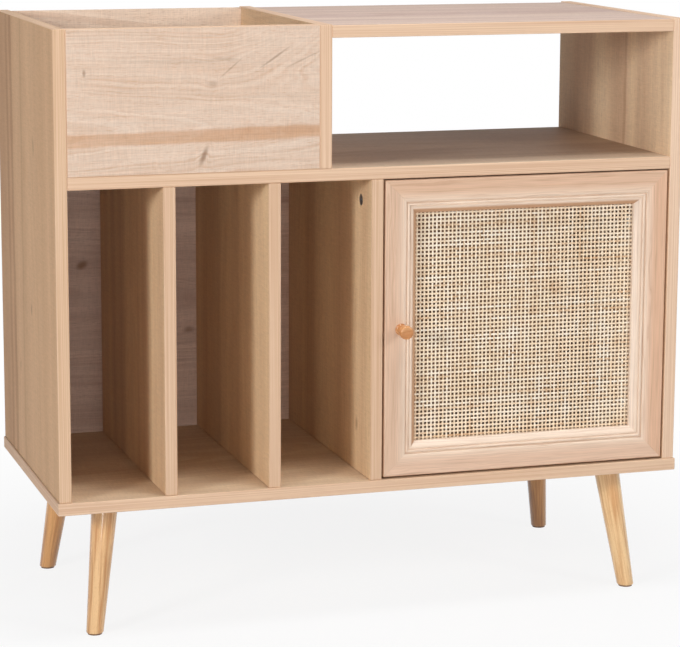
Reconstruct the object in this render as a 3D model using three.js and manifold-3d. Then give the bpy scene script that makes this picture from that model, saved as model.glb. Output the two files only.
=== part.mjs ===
// Record cabinet: a flat-pack carcase of oak-faced boards on four splayed turned legs.
// Left to right it has a record bin open at the top above three record slots, and a compartment
// open at both faces above a cupboard whose door is a mitred moulded frame round cane webbing.
// Millimetres. X runs to the right, Y to the back and Z up. The origin is on the floor under
// the middle of the whole, the knob included.
import * as THREE from "three";
import { mergeVertices } from "three/addons/utils/BufferGeometryUtils.js";
import { ConvexGeometry } from "three/addons/geometries/ConvexGeometry.js";
import Module from "manifold-3d";

const wasm = await Module();
wasm.setup();

// Carcase
const boardThickness = 16;
const carcaseWidth = 850;
const carcaseDepth = 390;
const sidePanelHeight = 599;
const edgeSoftening = 0.8;
const bottomOverhang = 2;
const slotWidth = 122;
const slotDividerCount = 2;
const lowerOpeningHeight = 399;
const binWidth = 328;
const topBoardDrop = 1;

// Backs, which slide in grooves
const backThickness = 3;
const backSetback = 8;
const grooveDepth = 5;
const backJointGap = 0.5;

// Clearances shared by all pieces
const butt = 0.1;
const slip = 0.3;
const overrun = 4;

// Cam locks that draw the boards together
const camRadius = 7.5;
const camHeight = 12;
const camToEnd = 32;
const camFromFront = 45;
const camFromRear = 60;
const camSlotLength = 9;
const camSlotWidth = 2;
const camSlotDepth = 2.5;

// Legs, their plates and glides
const legHeight = 170;
const legTopRadius = 17.5;
const legFootRadius = 11.2;
const legInsetSide = 72.5;
const legInsetEnd = 64;
const legSplaySide = THREE.MathUtils.degToRad(7.4);
const legSplayEnd = THREE.MathUtils.degToRad(9.6);
const legPlateSize = 62;
const legPlateThickness = 2.5;
const legPlateCorner = 8;
const legPlateScrewInset = 9;
const legPlateScrewRadius = 2.4;
const legStudRadius = 4;
const legStudReach = 30;
const legBoreSpare = 3;
const glideRadius = 9.5;
const glideThickness = 2;

// Door frame
const doorSetback = 0.5;
const doorGapSide = 3;
const doorGapBottom = 3;
const doorGapTop = 2;
const doorThickness = 18;
const frameWidth = 44.5;
const mitreGap = 0.1;

// Section of the door frame moulding, measured inwards from the outer edge
const arrisRadius = 1.6;
const beadCentre = 29.7;
const beadRadius = 2.5;
const quirkWidth = 0.9;
const quirkDepth = 1.9;
const innerRoundWidth = 4.6;
const innerRoundDrop = 1;
const coveDrop = 10.6;
const rebateWidth = 6;
const rebateDepth = 5;

// Cane webbing and the strips that hold it
const caneThickness = 1.4;
const caneGapsAcross = 16;
const caneGapsUp = 16;
const caneGapShare = 0.5;

// Knob and its screw
const knobReach = 25;
const knobFromEdge = 22.5;
const knobBaseRadius = 8;
const knobBaseHeight = 2.2;
const knobNeckRadius = 5.2;
const knobHeadRadius = 9.2;
const knobHeadHeight = 8;
const knobRimRadius = 2;
const knobDishRadius = 5.5;
const knobDishDepth = 0.7;
const knobScrewRadius = 2;
const knobScrewReach = 12;
const knobScrewHeadRadius = 4.2;
const knobScrewHeadHeight = 2.4;

// Concealed hinges
const hingeFromEnd = 70;
const hingeCupRadius = 17.3;
const hingeCupDepth = 12.5;
const hingeCupWall = 1;
const hingeCupFromEdge = 20.5;
const hingeFlangeRadius = 19;
const hingeFlangeThickness = 1;
const hingeEyeRadius = 2.6;
const hingePinRadius = 1.4;
const hingeBoreSlip = 0.2;
const hingeNeckAngle = THREE.MathUtils.degToRad(140);
const hingeNeckReach = 30;
const hingeNeckThickness = 2.2;
const hingeNeckHeight = 13;
const hingeArmWidth = 9;
const hingeArmLength = 46;
const hingeArmHeight = 17;
const hingeArmSetback = 34;
const hingePlateThickness = 3.5;
const hingePlateLength = 42;
const hingePlateWidth = 15;
const hingeWingLength = 46;
const hingeWingWidth = 14;

// Magnetic catch
const catchLength = 46;
const catchDepth = 15;
const catchHeight = 13;
const catchFromDoorEdge = 30;
const catchPoleLength = 32;
const catchPoleHeight = 3;
const catchPoleReach = 1.2;
const strikeLength = 40;
const strikeHeight = 11;
const strikeThickness = 1.2;

// Fineness of round forms
const turnedSegments = 28;
const fittingSegments = 16;
const arcSegments = 4;

// Levels from the floor up
const sideBottom = legHeight + boardThickness;
const sideTop = sideBottom + sidePanelHeight;
const shelfBottom = sideBottom + lowerOpeningHeight;
const shelfTop = shelfBottom + boardThickness;
const topBoardTop = sideTop - topBoardDrop;
const topBoardBottom = topBoardTop - boardThickness;

// Places along X
const sideOuter = carcaseWidth / 2;
const sideInner = sideOuter - boardThickness;
const slotPitch = slotWidth + boardThickness;
const doorDividerLeft = -sideInner + slotPitch * slotDividerCount + slotWidth;
const doorDividerRight = doorDividerLeft + boardThickness;
const binDividerLeft = -sideInner + binWidth;
const binDividerRight = binDividerLeft + boardThickness;

// Places along Y
const frontY = -(carcaseDepth + doorSetback - butt - knobReach) / 2;
const rearY = frontY + carcaseDepth;
const backFaceY = rearY - backSetback - backThickness;
const innerRearY = backFaceY - slip;
const doorFrontY = frontY + doorSetback;
const doorRearY = doorFrontY + doorThickness;

// Door outline
const doorLeft = doorDividerRight + doorGapSide;
const doorRight = sideInner - doorGapSide;
const doorBottom = sideBottom + doorGapBottom;
const doorTop = shelfBottom - doorGapTop;
const doorWidth = doorRight - doorLeft;
const doorHeight = doorTop - doorBottom;
const doorMiddleX = (doorLeft + doorRight) / 2;
const doorMiddleZ = (doorBottom + doorTop) / 2;

// Hinge axis: the pin lies in the cup, clear of its floor
const hingePinX = doorRight - hingeCupFromEdge;
const hingeCupFloorY = doorRearY - hingeCupDepth;
const hingePinY = hingeCupFloorY + hingeCupWall + slip + hingeEyeRadius;
const hingeLevels = { lower: doorBottom + hingeFromEnd, upper: doorTop - hingeFromEnd };

const finishes = {
  oakBoard: new THREE.MeshStandardMaterial({ color: 0xd8bb98, roughness: 0.55, metalness: 0 }),
  oakSide: new THREE.MeshStandardMaterial({ color: 0xc8a887, roughness: 0.55, metalness: 0 }),
  oakMoulding: new THREE.MeshStandardMaterial({ color: 0xe1bfa1, roughness: 0.5, metalness: 0 }),
  cane: new THREE.MeshStandardMaterial({ color: 0xe8d3b0, roughness: 0.7, metalness: 0 }),
  beech: new THREE.MeshStandardMaterial({ color: 0xd9a66e, roughness: 0.35, metalness: 0 }),
  hardboard: new THREE.MeshStandardMaterial({ color: 0xc9ab8a, roughness: 0.7, metalness: 0 }),
  nickel: new THREE.MeshStandardMaterial({ color: 0xb9bbbd, roughness: 0.3, metalness: 1 }),
  zinc: new THREE.MeshStandardMaterial({ color: 0x9a9c9e, roughness: 0.45, metalness: 1 }),
  blackSteel: new THREE.MeshStandardMaterial({ color: 0x2a2a2b, roughness: 0.5, metalness: 0.9 }),
  plastic: new THREE.MeshStandardMaterial({ color: 0x8a6a4c, roughness: 0.6, metalness: 0 }),
};

// Solids and geometries

/** Reverses the triangles of a closed geometry whose faces point inwards. */
function facingOut(geometry) {
  const place = geometry.getAttribute("position");
  const index = geometry.index.array;
  const a = new THREE.Vector3();
  const b = new THREE.Vector3();
  const c = new THREE.Vector3();
  let volume = 0;
  for (let i = 0; i < index.length; i += 3) {
    a.fromBufferAttribute(place, index[i]);
    b.fromBufferAttribute(place, index[i + 1]);
    c.fromBufferAttribute(place, index[i + 2]);
    volume += a.dot(b.cross(c));
  }
  if (volume < 0) {
    for (let i = 0; i < index.length; i += 3) {
      [index[i + 1], index[i + 2]] = [index[i + 2], index[i + 1]];
    }
  }
  return geometry;
}

/** Joins the shared vertices of a geometry, so that it is one closed mesh of positions. */
function welded(geometry) {
  const bare = geometry.clone();
  bare.deleteAttribute("normal");
  bare.deleteAttribute("uv");
  return facingOut(mergeVertices(bare));
}

/** Makes a manifold solid of a closed geometry. */
function solidOf(geometry) {
  const closed = welded(geometry);
  const mesh = new wasm.Mesh({
    numProp: 3,
    vertProperties: new Float32Array(closed.getAttribute("position").array),
    triVerts: new Uint32Array(closed.index.array),
  });
  return new wasm.Manifold(mesh);
}

/** Makes a geometry of a manifold solid. */
function geometryOf(solid) {
  const mesh = solid.getMesh();
  const geometry = new THREE.BufferGeometry();
  geometry.setAttribute("position", new THREE.BufferAttribute(mesh.vertProperties, 3));
  geometry.setIndex(new THREE.BufferAttribute(mesh.triVerts, 1));
  return geometry;
}

/** Cuts every tool from a geometry. */
function cut(geometry, tools) {
  const whole = solidOf(geometry);
  return geometryOf(tools.reduce((solid, tool) => solid.subtract(solidOf(tool)), whole));
}

/** Joins overlapping geometries into one. */
function join(geometries) {
  return geometryOf(geometries.map(solidOf).reduce((whole, next) => whole.add(next)));
}

/** A box between two corners. */
function boxBetween(low, high) {
  const size = high.map((value, axis) => value - low[axis]);
  const middle = high.map((value, axis) => (value + low[axis]) / 2);
  return new THREE.BoxGeometry(...size).translate(...middle);
}

/** A box between two corners with all its edges softened by a small chamfer. */
function softBoxBetween(low, high, chamfer) {
  const points = [];
  const ends = [low, high];
  for (const i of [0, 1]) {
    for (const j of [0, 1]) {
      for (const k of [0, 1]) {
        const corner = [ends[i][0], ends[j][1], ends[k][2]];
        const inward = [i, j, k].map((side) => (side === 0 ? chamfer : -chamfer));
        for (const kept of [0, 1, 2]) {
          const place = corner.map((value, axis) => (axis === kept ? value : value + inward[axis]));
          points.push(new THREE.Vector3(...place));
        }
      }
    }
  }
  return new ConvexGeometry(points);
}

/** A cylinder from one point to another. */
function rod(from, to, radius, segments = fittingSegments) {
  const start = new THREE.Vector3(...from);
  const end = new THREE.Vector3(...to);
  const run = end.clone().sub(start);
  const turn = new THREE.Quaternion().setFromUnitVectors(new THREE.Vector3(0, 1, 0), run.clone().normalize());
  const middle = start.add(end).multiplyScalar(1 / 2);
  return new THREE.CylinderGeometry(radius, radius, run.length(), segments)
    .applyQuaternion(turn)
    .translate(middle.x, middle.y, middle.z);
}

/** An outline in X and Y, raised along Z between two levels. */
function raised(outline, bottom, top) {
  return new THREE.ExtrudeGeometry(outline, { depth: top - bottom, bevelEnabled: false, curveSegments: arcSegments })
    .translate(0, 0, bottom);
}

/** The outline round a path of points, kept at half the thickness on either side of it. */
function ribbonOutline(points, thickness) {
  const half = thickness / 2;
  const left = [];
  const right = [];
  points.forEach((point, i) => {
    const before = points[Math.max(i - 1, 0)];
    const after = points[Math.min(i + 1, points.length - 1)];
    const inRun = point.clone().sub(i === 0 ? point : before).normalize();
    const outRun = after.clone().sub(i === points.length - 1 ? before : point).normalize();
    const run = i === 0 ? outRun : inRun.clone().add(outRun).normalize();
    const spread = half / (i === 0 ? 1 : run.dot(inRun));
    const across = new THREE.Vector2(-run.y, run.x).multiplyScalar(spread);
    left.push(point.clone().add(across));
    right.push(point.clone().sub(across));
  });
  return new THREE.Shape([...left, ...right.reverse()]);
}

/** A named mesh whose geometry was drawn in place, moved to its own middle and set back there. */
function piece(name, geometry, material) {
  geometry.computeBoundingBox();
  const middle = geometry.boundingBox.getCenter(new THREE.Vector3());
  const mesh = new THREE.Mesh(geometry.translate(-middle.x, -middle.y, -middle.z), material);
  mesh.name = name;
  mesh.position.copy(middle);
  return mesh;
}

// Cam locks: each sits in a bore in a board's face, near the end that it draws home

const camInsetFront = frontY + camFromFront;
const camInsetRear = innerRearY - camFromRear;
const camBoreDepth = camHeight + slip;
const camBoreRadius = camRadius + slip / 2;

/** The places of the cam locks: the face that each is let into, and the way into the board. */
function camPlaces() {
  const places = [];
  const upright = (name, faceX, into) => {
    for (const [end, y] of [["front", camInsetFront], ["rear", camInsetRear]]) {
      places.push({ name: `cam_${name}_${end}`, board: name, at: [faceX, y, shelfBottom - camToEnd], into: [into, 0, 0] });
    }
  };
  const lying = (name, side, x, z) => {
    for (const [end, y] of [["front", camInsetFront], ["rear", camInsetRear]]) {
      places.push({ name: `cam_${name}_${side}_${end}`, board: name, at: [x, y, z], into: [0, 0, 1] });
    }
  };
  upright("door_divider", doorDividerLeft, 1);
  for (let i = 1; i <= slotDividerCount; i += 1) {
    upright(`slot_divider_${i}`, -sideInner + slotPitch * i, -1);
  }
  lying("mid_shelf", "left", -sideInner + camToEnd, shelfBottom);
  lying("mid_shelf", "right", sideInner - camToEnd, shelfBottom);
  lying("top_board", "left", binDividerRight + camToEnd, topBoardBottom);
  lying("top_board", "right", sideInner - camToEnd, topBoardBottom);
  return places;
}

const cams = camPlaces();

/** The point at a depth below the face that a cam lock is let into. */
function belowFace(place, depth) {
  return place.at.map((value, axis) => value + place.into[axis] * depth);
}

/** The bores for the cam locks of one board. */
function camBores(board) {
  return cams
    .filter((place) => place.board === board)
    .map((place) => rod(belowFace(place, -overrun), belowFace(place, camBoreDepth), camBoreRadius));
}

/** A cam lock: a drum with a crossed driver slot in its face. */
function camLock(place) {
  const drum = rod(belowFace(place, slip / 2), belowFace(place, slip / 2 + camHeight), camRadius);
  const slots = [[camSlotLength, camSlotWidth], [camSlotWidth, camSlotLength]].map(([long, wide]) => {
    const reach = place.into.map((part) => part * (camSlotDepth + slip / 2));
    const across = place.into[0] !== 0 ? [0, long, wide] : [long, wide, 0];
    const low = place.at.map((value, axis) => Math.min(value, value + reach[axis]) - across[axis] / 2);
    const high = place.at.map((value, axis) => Math.max(value, value + reach[axis]) + across[axis] / 2);
    const open = place.into.map((part) => -part * overrun);
    return boxBetween(
      low.map((value, axis) => value + Math.min(open[axis], 0)),
      high.map((value, axis) => value + Math.max(open[axis], 0)),
    );
  });
  return piece(place.name, cut(drum, slots), finishes.zinc);
}

// Carcase boards

/** A board between two corners, with grooves and bores cut from it. */
function board(name, low, high, material, cuts = []) {
  const blank = softBoxBetween(low, high, edgeSoftening);
  const tools = [...cuts, ...camBores(name)];
  return piece(name, tools.length > 0 ? cut(blank, tools) : geometryOf(solidOf(blank)), material);
}

const grooveFrontY = backFaceY - slip;
const grooveRearY = backFaceY + backThickness + slip;
const backJointZ = (shelfBottom + shelfTop) / 2;

/** The groove in the inner face of a side panel, from its foot to a level. */
function sideGroove(side, top) {
  const deep = side * (sideInner + grooveDepth);
  const open = side * (sideInner - overrun);
  return boxBetween(
    [Math.min(deep, open), grooveFrontY, sideBottom - overrun],
    [Math.max(deep, open), grooveRearY, top],
  );
}

function sidePanel(name, side, grooveTop) {
  const faces = [side * sideInner, side * sideOuter].sort((a, b) => a - b);
  return board(
    name,
    [faces[0], frontY, sideBottom + butt],
    [faces[1], rearY, sideTop],
    finishes.oakSide,
    [sideGroove(side, grooveTop)],
  );
}

function bottomBoard() {
  const groove = boxBetween(
    [-sideInner - grooveDepth, grooveFrontY, sideBottom - grooveDepth],
    [sideInner + grooveDepth, grooveRearY, sideBottom + overrun],
  );
  return board(
    "bottom_board",
    [-sideOuter - bottomOverhang, frontY - bottomOverhang, legHeight],
    [sideOuter + bottomOverhang, rearY, sideBottom],
    finishes.oakBoard,
    [groove],
  );
}

/** A board that lies between two uprights, as deep as the backs leave it. */
function lyingBoard(name, left, right, bottom, top) {
  return board(name, [left + butt, frontY, bottom], [right - butt, innerRearY, top], finishes.oakBoard);
}

/** An upright between the bottom board and the shelf. */
function lowerDivider(name, left) {
  return board(
    name,
    [left, frontY, sideBottom + butt],
    [left + boardThickness, innerRearY, shelfBottom - butt],
    finishes.oakBoard,
  );
}

function binDivider() {
  const groove = boxBetween(
    [binDividerLeft - overrun, grooveFrontY, shelfTop - overrun],
    [binDividerLeft + grooveDepth, grooveRearY, sideTop + overrun],
  );
  return board(
    "bin_divider",
    [binDividerLeft, frontY, shelfTop + butt],
    [binDividerRight, rearY, sideTop],
    finishes.oakBoard,
    [groove],
  );
}

function binFrontPanel() {
  return board(
    "bin_front_panel",
    [-sideInner + butt, frontY, shelfTop + butt],
    [binDividerLeft - butt, frontY + boardThickness, sideTop],
    finishes.oakBoard,
  );
}

/** A thin back whose edges stand in the grooves. */
function backPanel(name, left, right, bottom, top) {
  return piece(name, boxBetween([left, backFaceY, bottom], [right, backFaceY + backThickness, top]), finishes.hardboard);
}

function carcase() {
  const inGroove = grooveDepth - slip;
  const group = new THREE.Group();
  group.add(
    bottomBoard(),
    sidePanel("side_panel_left", -1, sideTop + overrun),
    sidePanel("side_panel_right", 1, backJointZ),
    lyingBoard("mid_shelf", -sideInner, sideInner, shelfBottom, shelfTop),
    lyingBoard("top_board", binDividerRight, sideInner, topBoardBottom, topBoardTop),
    lowerDivider("door_divider", doorDividerLeft),
    binDivider(),
    binFrontPanel(),
    backPanel("lower_back_panel", -sideInner - inGroove, sideInner + inGroove,
      sideBottom - inGroove, backJointZ - backJointGap),
    backPanel("bin_back_panel", -sideInner - inGroove, binDividerLeft + inGroove, backJointZ, topBoardTop),
  );
  for (let i = 1; i <= slotDividerCount; i += 1) {
    group.add(lowerDivider(`slot_divider_${i}`, -sideInner + slotPitch * i - boardThickness));
  }
  group.add(...cams.map(camLock));
  return group;
}

// Legs: each turned leg hangs from a steel plate by a stud along its own axis

/** A point on a leg's axis at a level above the floor. */
function onLegAxis(side, end, level) {
  const drop = legHeight - level;
  const x = side * (sideOuter - legInsetSide + drop * Math.tan(legSplaySide));
  const endY = end < 0 ? frontY + legInsetEnd : rearY - legInsetEnd;
  return [x, endY + end * drop * Math.tan(legSplayEnd), level];
}

/** A tapered round bar along a leg's axis, overrunning the leg at both ends. */
function taperedBar(side, end) {
  const high = new THREE.Vector3(...onLegAxis(side, end, legHeight));
  const low = new THREE.Vector3(...onLegAxis(side, end, 0));
  const run = high.clone().sub(low);
  const length = run.length();
  const spare = legTopRadius;
  const growth = (legTopRadius - legFootRadius) / length;
  const turn = new THREE.Quaternion().setFromUnitVectors(new THREE.Vector3(0, 1, 0), run.normalize());
  const middle = high.add(low).multiplyScalar(1 / 2);
  return new THREE.CylinderGeometry(
    legTopRadius + spare * growth,
    legFootRadius - spare * growth,
    length + spare * 2,
    turnedSegments,
  ).applyQuaternion(turn).translate(middle.x, middle.y, middle.z);
}

/** The room between two levels round a leg. */
function levelRoom(bottom, top) {
  return boxBetween([-carcaseWidth, -carcaseDepth, bottom], [carcaseWidth, carcaseDepth, top]);
}

const legPlateTop = legHeight - butt;
const legPlateBottom = legPlateTop - legPlateThickness;
const legTop = legPlateBottom - butt;
const legBottom = glideThickness + butt;

function leg(name, side, end) {
  const bore = rod(
    onLegAxis(side, end, legHeight + overrun),
    onLegAxis(side, end, legPlateBottom - legStudReach - legBoreSpare),
    legStudRadius + slip,
  );
  const turned = solidOf(taperedBar(side, end)).intersect(solidOf(levelRoom(legBottom, legTop)));
  return piece(name, geometryOf(turned.subtract(solidOf(bore))), finishes.beech);
}

function legPlate(name, side, end) {
  const half = legPlateSize / 2;
  const [middleX, middleY] = onLegAxis(side, end, legPlateTop);
  const outline = new THREE.Shape();
  const reach = half - legPlateCorner;
  outline.absarc(reach, reach, legPlateCorner, 0, Math.PI / 2, false);
  outline.absarc(-reach, reach, legPlateCorner, Math.PI / 2, Math.PI, false);
  outline.absarc(-reach, -reach, legPlateCorner, Math.PI, Math.PI * 3 / 2, false);
  outline.absarc(reach, -reach, legPlateCorner, Math.PI * 3 / 2, Math.PI * 2, false);
  const screwReach = half - legPlateScrewInset;
  for (const x of [-screwReach, screwReach]) {
    for (const y of [-screwReach, screwReach]) {
      const hole = new THREE.Path();
      hole.absarc(x, y, legPlateScrewRadius, 0, Math.PI * 2, true);
      outline.holes.push(hole);
    }
  }
  const plate = raised(outline, legPlateBottom, legPlateTop).translate(middleX, middleY, 0);
  const stud = solidOf(rod(
    onLegAxis(side, end, legHeight + overrun),
    onLegAxis(side, end, legPlateBottom - legStudReach),
    legStudRadius,
  )).intersect(solidOf(levelRoom(0, legPlateTop)));
  return piece(name, geometryOf(solidOf(plate).add(stud)), finishes.blackSteel);
}

function legGlide(name, side, end) {
  const [x, y] = onLegAxis(side, end, glideThickness);
  return piece(name, rod([x, y, 0], [x, y, glideThickness], glideRadius), finishes.plastic);
}

function legs() {
  const group = new THREE.Group();
  for (const [endName, end] of [["front", -1], ["rear", 1]]) {
    for (const [sideName, side] of [["left", -1], ["right", 1]]) {
      const place = `${endName}_${sideName}`;
      group.add(
        leg(`leg_${place}`, side, end),
        legPlate(`leg_plate_${place}`, side, end),
        legGlide(`leg_glide_${place}`, side, end),
      );
    }
  }
  return group;
}

// Door: four mitred lengths of one moulding round a panel of cane webbing

/** The section of the moulding: x inwards from the outer edge, y forwards from the rear face. */
function mouldingSection() {
  const face = doorThickness;
  const beadSide = Math.sqrt(beadRadius ** 2 - (beadRadius - quirkDepth) ** 2);
  const beadMiddle = face - beadRadius;
  const quirkFloor = face - quirkDepth;
  const beadStart = beadCentre - beadSide;
  const beadEnd = beadCentre + beadSide;
  const beadAngle = Math.atan2(quirkFloor - beadMiddle, beadSide);
  const roundStart = beadEnd + quirkWidth;
  const roundEnd = roundStart + innerRoundWidth;
  const roundTop = face - innerRoundDrop;
  const coveWidth = frameWidth - roundEnd;
  const section = new THREE.Path();
  section.moveTo(0, 0);
  section.lineTo(0, face - arrisRadius);
  section.absarc(arrisRadius, face - arrisRadius, arrisRadius, Math.PI, Math.PI / 2, true);
  section.lineTo(beadStart - quirkWidth - quirkDepth / 2, face);
  section.lineTo(beadStart - quirkWidth, quirkFloor);
  section.lineTo(beadStart, quirkFloor);
  section.absarc(beadCentre, beadMiddle, beadRadius, Math.PI - beadAngle, beadAngle, true);
  section.lineTo(roundStart, quirkFloor);
  section.quadraticCurveTo(roundStart, roundTop, (roundStart + roundEnd) / 2, roundTop);
  section.lineTo(roundEnd, roundTop - innerRoundDrop / 2);
  section.quadraticCurveTo(roundEnd + coveWidth / 4, roundTop - coveDrop, frameWidth, roundTop - coveDrop);
  section.lineTo(frameWidth, rebateDepth);
  section.lineTo(frameWidth - rebateWidth, rebateDepth);
  section.lineTo(frameWidth - rebateWidth, 0);
  return section.getPoints(arcSegments).filter((point, i, all) => i === 0 || point.distanceTo(all[i - 1]) > butt);
}

/** A mitred length of a section: outer edge along X at Z zero, its front towards -Y. */
function mitredLength(section, outerLength) {
  const outline = THREE.ShapeUtils.isClockWise(section) ? [...section].reverse() : section;
  const count = outline.length;
  const half = outerLength / 2 - mitreGap / 2;
  const places = [];
  for (const end of [-1, 1]) {
    for (const point of outline) {
      places.push(end * (half - point.x), -point.y, point.x);
    }
  }
  const index = [];
  for (let i = 0; i < count; i += 1) {
    const next = (i + 1) % count;
    index.push(i, next, count + next, i, count + next, count + i);
  }
  for (const [a, b, c] of THREE.ShapeUtils.triangulateShape(outline, [])) {
    index.push(a, c, b, count + a, count + b, count + c);
  }
  const geometry = new THREE.BufferGeometry();
  geometry.setAttribute("position", new THREE.Float32BufferAttribute(places, 3));
  geometry.setIndex(index);
  return facingOut(geometry);
}

/** The four sides of the door: how far each is turned, and where its outer edge lies. */
const doorSides = {
  bottom: { turn: 0, x: doorMiddleX, z: doorBottom, outerLength: doorWidth },
  top: { turn: Math.PI, x: doorMiddleX, z: doorTop, outerLength: doorWidth },
  left: { turn: Math.PI / 2, x: doorLeft, z: doorMiddleZ, outerLength: doorHeight },
  right: { turn: -Math.PI / 2, x: doorRight, z: doorMiddleZ, outerLength: doorHeight },
};

/** A mitred length turned and set on its side of the door, drawn in place, with bores cut. */
function doorLength(name, side, section, material, cuts = []) {
  const { turn, x, z, outerLength } = doorSides[side];
  const geometry = mitredLength(section, outerLength).rotateY(turn).translate(x, doorRearY, z);
  return piece(name, cuts.length > 0 ? cut(geometry, cuts) : geometry, material);
}

/** The section of the strip that holds the webbing in the rebate behind the frame. */
function stripSection() {
  const outer = frameWidth - rebateWidth + slip;
  const forward = rebateDepth - caneThickness - slip;
  return [[outer, 0], [outer, forward], [frameWidth, forward], [frameWidth, 0]].map((at) => new THREE.Vector2(...at));
}

/** The lines of a net along one way: its outer edges, and both sides of every row of gaps. */
function netLines(middle, outerWidth, openWidth, gaps) {
  const pitch = openWidth / gaps;
  const halfGap = pitch * caneGapShare / 2;
  const lines = [middle - outerWidth / 2];
  for (let i = 0; i < gaps; i += 1) {
    const gapMiddle = middle - openWidth / 2 + pitch * i + pitch / 2;
    lines.push(gapMiddle - halfGap, gapMiddle + halfGap);
  }
  return [...lines, middle + outerWidth / 2];
}

/** A flat net in X and Z between two planes, whose cells in odd columns and odd rows are gaps. */
function netBetween(linesX, linesZ, front, back) {
  const rows = linesZ.length;
  const columns = linesX.length;
  const isSolid = (i, j) => i >= 0 && j >= 0 && i < columns - 1 && j < rows - 1 && !(i % 2 === 1 && j % 2 === 1);
  const at = (i, j, layer) => (layer * columns + i) * rows + j;
  const places = [];
  for (const y of [front, back]) {
    for (const x of linesX) {
      for (const z of linesZ) {
        places.push(x, y, z);
      }
    }
  }
  const index = [];
  for (let i = 0; i < columns - 1; i += 1) {
    for (let j = 0; j < rows - 1; j += 1) {
      const corners = [[i, j], [i + 1, j], [i + 1, j + 1], [i, j + 1]];
      const beyond = [[i, j - 1], [i + 1, j], [i, j + 1], [i - 1, j]];
      if (isSolid(i, j)) {
        const [a, b, c, d] = corners.map((corner) => at(...corner, 0));
        const [e, f, g, h] = corners.map((corner) => at(...corner, 1));
        index.push(a, b, c, a, c, d, e, g, f, e, h, g);
        corners.forEach((from, side) => {
          const to = corners[(side + 1) % corners.length];
          if (!isSolid(...beyond[side])) {
            index.push(at(...to, 0), at(...from, 0), at(...from, 1), at(...to, 0), at(...from, 1), at(...to, 1));
          }
        });
      }
    }
  }
  const geometry = new THREE.BufferGeometry();
  geometry.setAttribute("position", new THREE.Float32BufferAttribute(places, 3));
  geometry.setIndex(index);
  return geometry;
}

/** The webbing: a flat net of square gaps inside a plain margin that stands in the rebate. */
function canePanel() {
  const margin = frameWidth - rebateWidth + slip;
  const front = doorRearY - rebateDepth + slip / 2;
  const net = netBetween(
    netLines(doorMiddleX, doorWidth - margin * 2, doorWidth - frameWidth * 2, caneGapsAcross),
    netLines(doorMiddleZ, doorHeight - margin * 2, doorHeight - frameWidth * 2, caneGapsUp),
    front,
    front + caneThickness,
  );
  return piece("cane_panel", welded(net), finishes.cane);
}

const knobX = doorLeft + knobFromEdge;
const knobScrewBore = rod(
  [knobX, doorFrontY - overrun, doorMiddleZ],
  [knobX, doorRearY + overrun, doorMiddleZ],
  knobScrewRadius + slip,
);

/** A form turned about a line along Y: its outline is given as radius and distance along Y. */
function turnedAlongY(outline, x, y, z, segments) {
  const points = outline.map(([radius, along]) => new THREE.Vector2(radius, along));
  return new THREE.LatheGeometry(points, segments).translate(x, y, z);
}

/** The turned knob: a spreading foot, a neck, and a rounded head with a dished face. */
function doorKnob() {
  const headBack = knobReach - knobHeadHeight;
  const outline = new THREE.Path();
  outline.moveTo(0, -knobScrewReach - slip);
  outline.lineTo(knobScrewRadius + slip, -knobScrewReach - slip);
  outline.lineTo(knobScrewRadius + slip, 0);
  outline.lineTo(knobBaseRadius, 0);
  outline.lineTo(knobBaseRadius, -knobBaseHeight);
  outline.quadraticCurveTo(knobNeckRadius, -knobBaseHeight, knobNeckRadius, -headBack / 2);
  outline.quadraticCurveTo(knobNeckRadius, -headBack, knobHeadRadius, -headBack - knobHeadHeight / 3);
  outline.lineTo(knobHeadRadius, -knobReach + knobRimRadius);
  outline.quadraticCurveTo(knobHeadRadius, -knobReach, knobHeadRadius - knobRimRadius, -knobReach);
  outline.lineTo(knobDishRadius, -knobReach);
  outline.quadraticCurveTo(knobDishRadius / 2, -knobReach + knobDishDepth, 0, -knobReach + knobDishDepth);
  const points = outline.getPoints(arcSegments).map((point) => [Math.abs(point.x), point.y]);
  return piece("door_knob", welded(turnedAlongY(points, knobX, doorFrontY - butt, doorMiddleZ, turnedSegments)), finishes.beech);
}

function knobScrew() {
  const front = -doorThickness - knobScrewReach;
  const outline = [
    [0, front],
    [knobScrewRadius, front],
    [knobScrewRadius, butt],
    [knobScrewHeadRadius, butt],
    [knobScrewHeadRadius, knobScrewHeadHeight / 2],
    [knobScrewHeadRadius / 2, knobScrewHeadHeight],
    [0, knobScrewHeadHeight],
  ];
  return piece("knob_screw", welded(turnedAlongY(outline, knobX, doorRearY, doorMiddleZ, fittingSegments)), finishes.zinc);
}

/** The cup let into the back of the door, with a thin flange on the door's rear face. */
function hingeCup(name, level) {
  const outline = [
    [0, 0],
    [hingeCupRadius, 0],
    [hingeCupRadius, hingeCupDepth + butt],
    [hingeFlangeRadius, hingeCupDepth + butt],
    [hingeFlangeRadius, hingeCupDepth + hingeFlangeThickness],
    [hingeCupRadius - hingeCupWall, hingeCupDepth + hingeFlangeThickness],
    [hingeCupRadius - hingeCupWall, hingeCupWall],
    [0, hingeCupWall],
  ];
  return piece(name, welded(turnedAlongY(outline, hingePinX, hingeCupFloorY, level, turnedSegments)), finishes.nickel);
}

/** The bore in the door for a hinge cup. */
function hingeCupBore(level) {
  return rod(
    [hingePinX, hingeCupFloorY - butt, level],
    [hingePinX, doorRearY + overrun, level],
    hingeCupRadius + slip,
    turnedSegments,
  );
}

function hingePin(name, level) {
  const half = hingeCupRadius - hingeCupWall - slip;
  return piece(
    name,
    rod([hingePinX, hingePinY, level - half], [hingePinX, hingePinY, level + half], hingePinRadius),
    finishes.nickel,
  );
}

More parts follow.
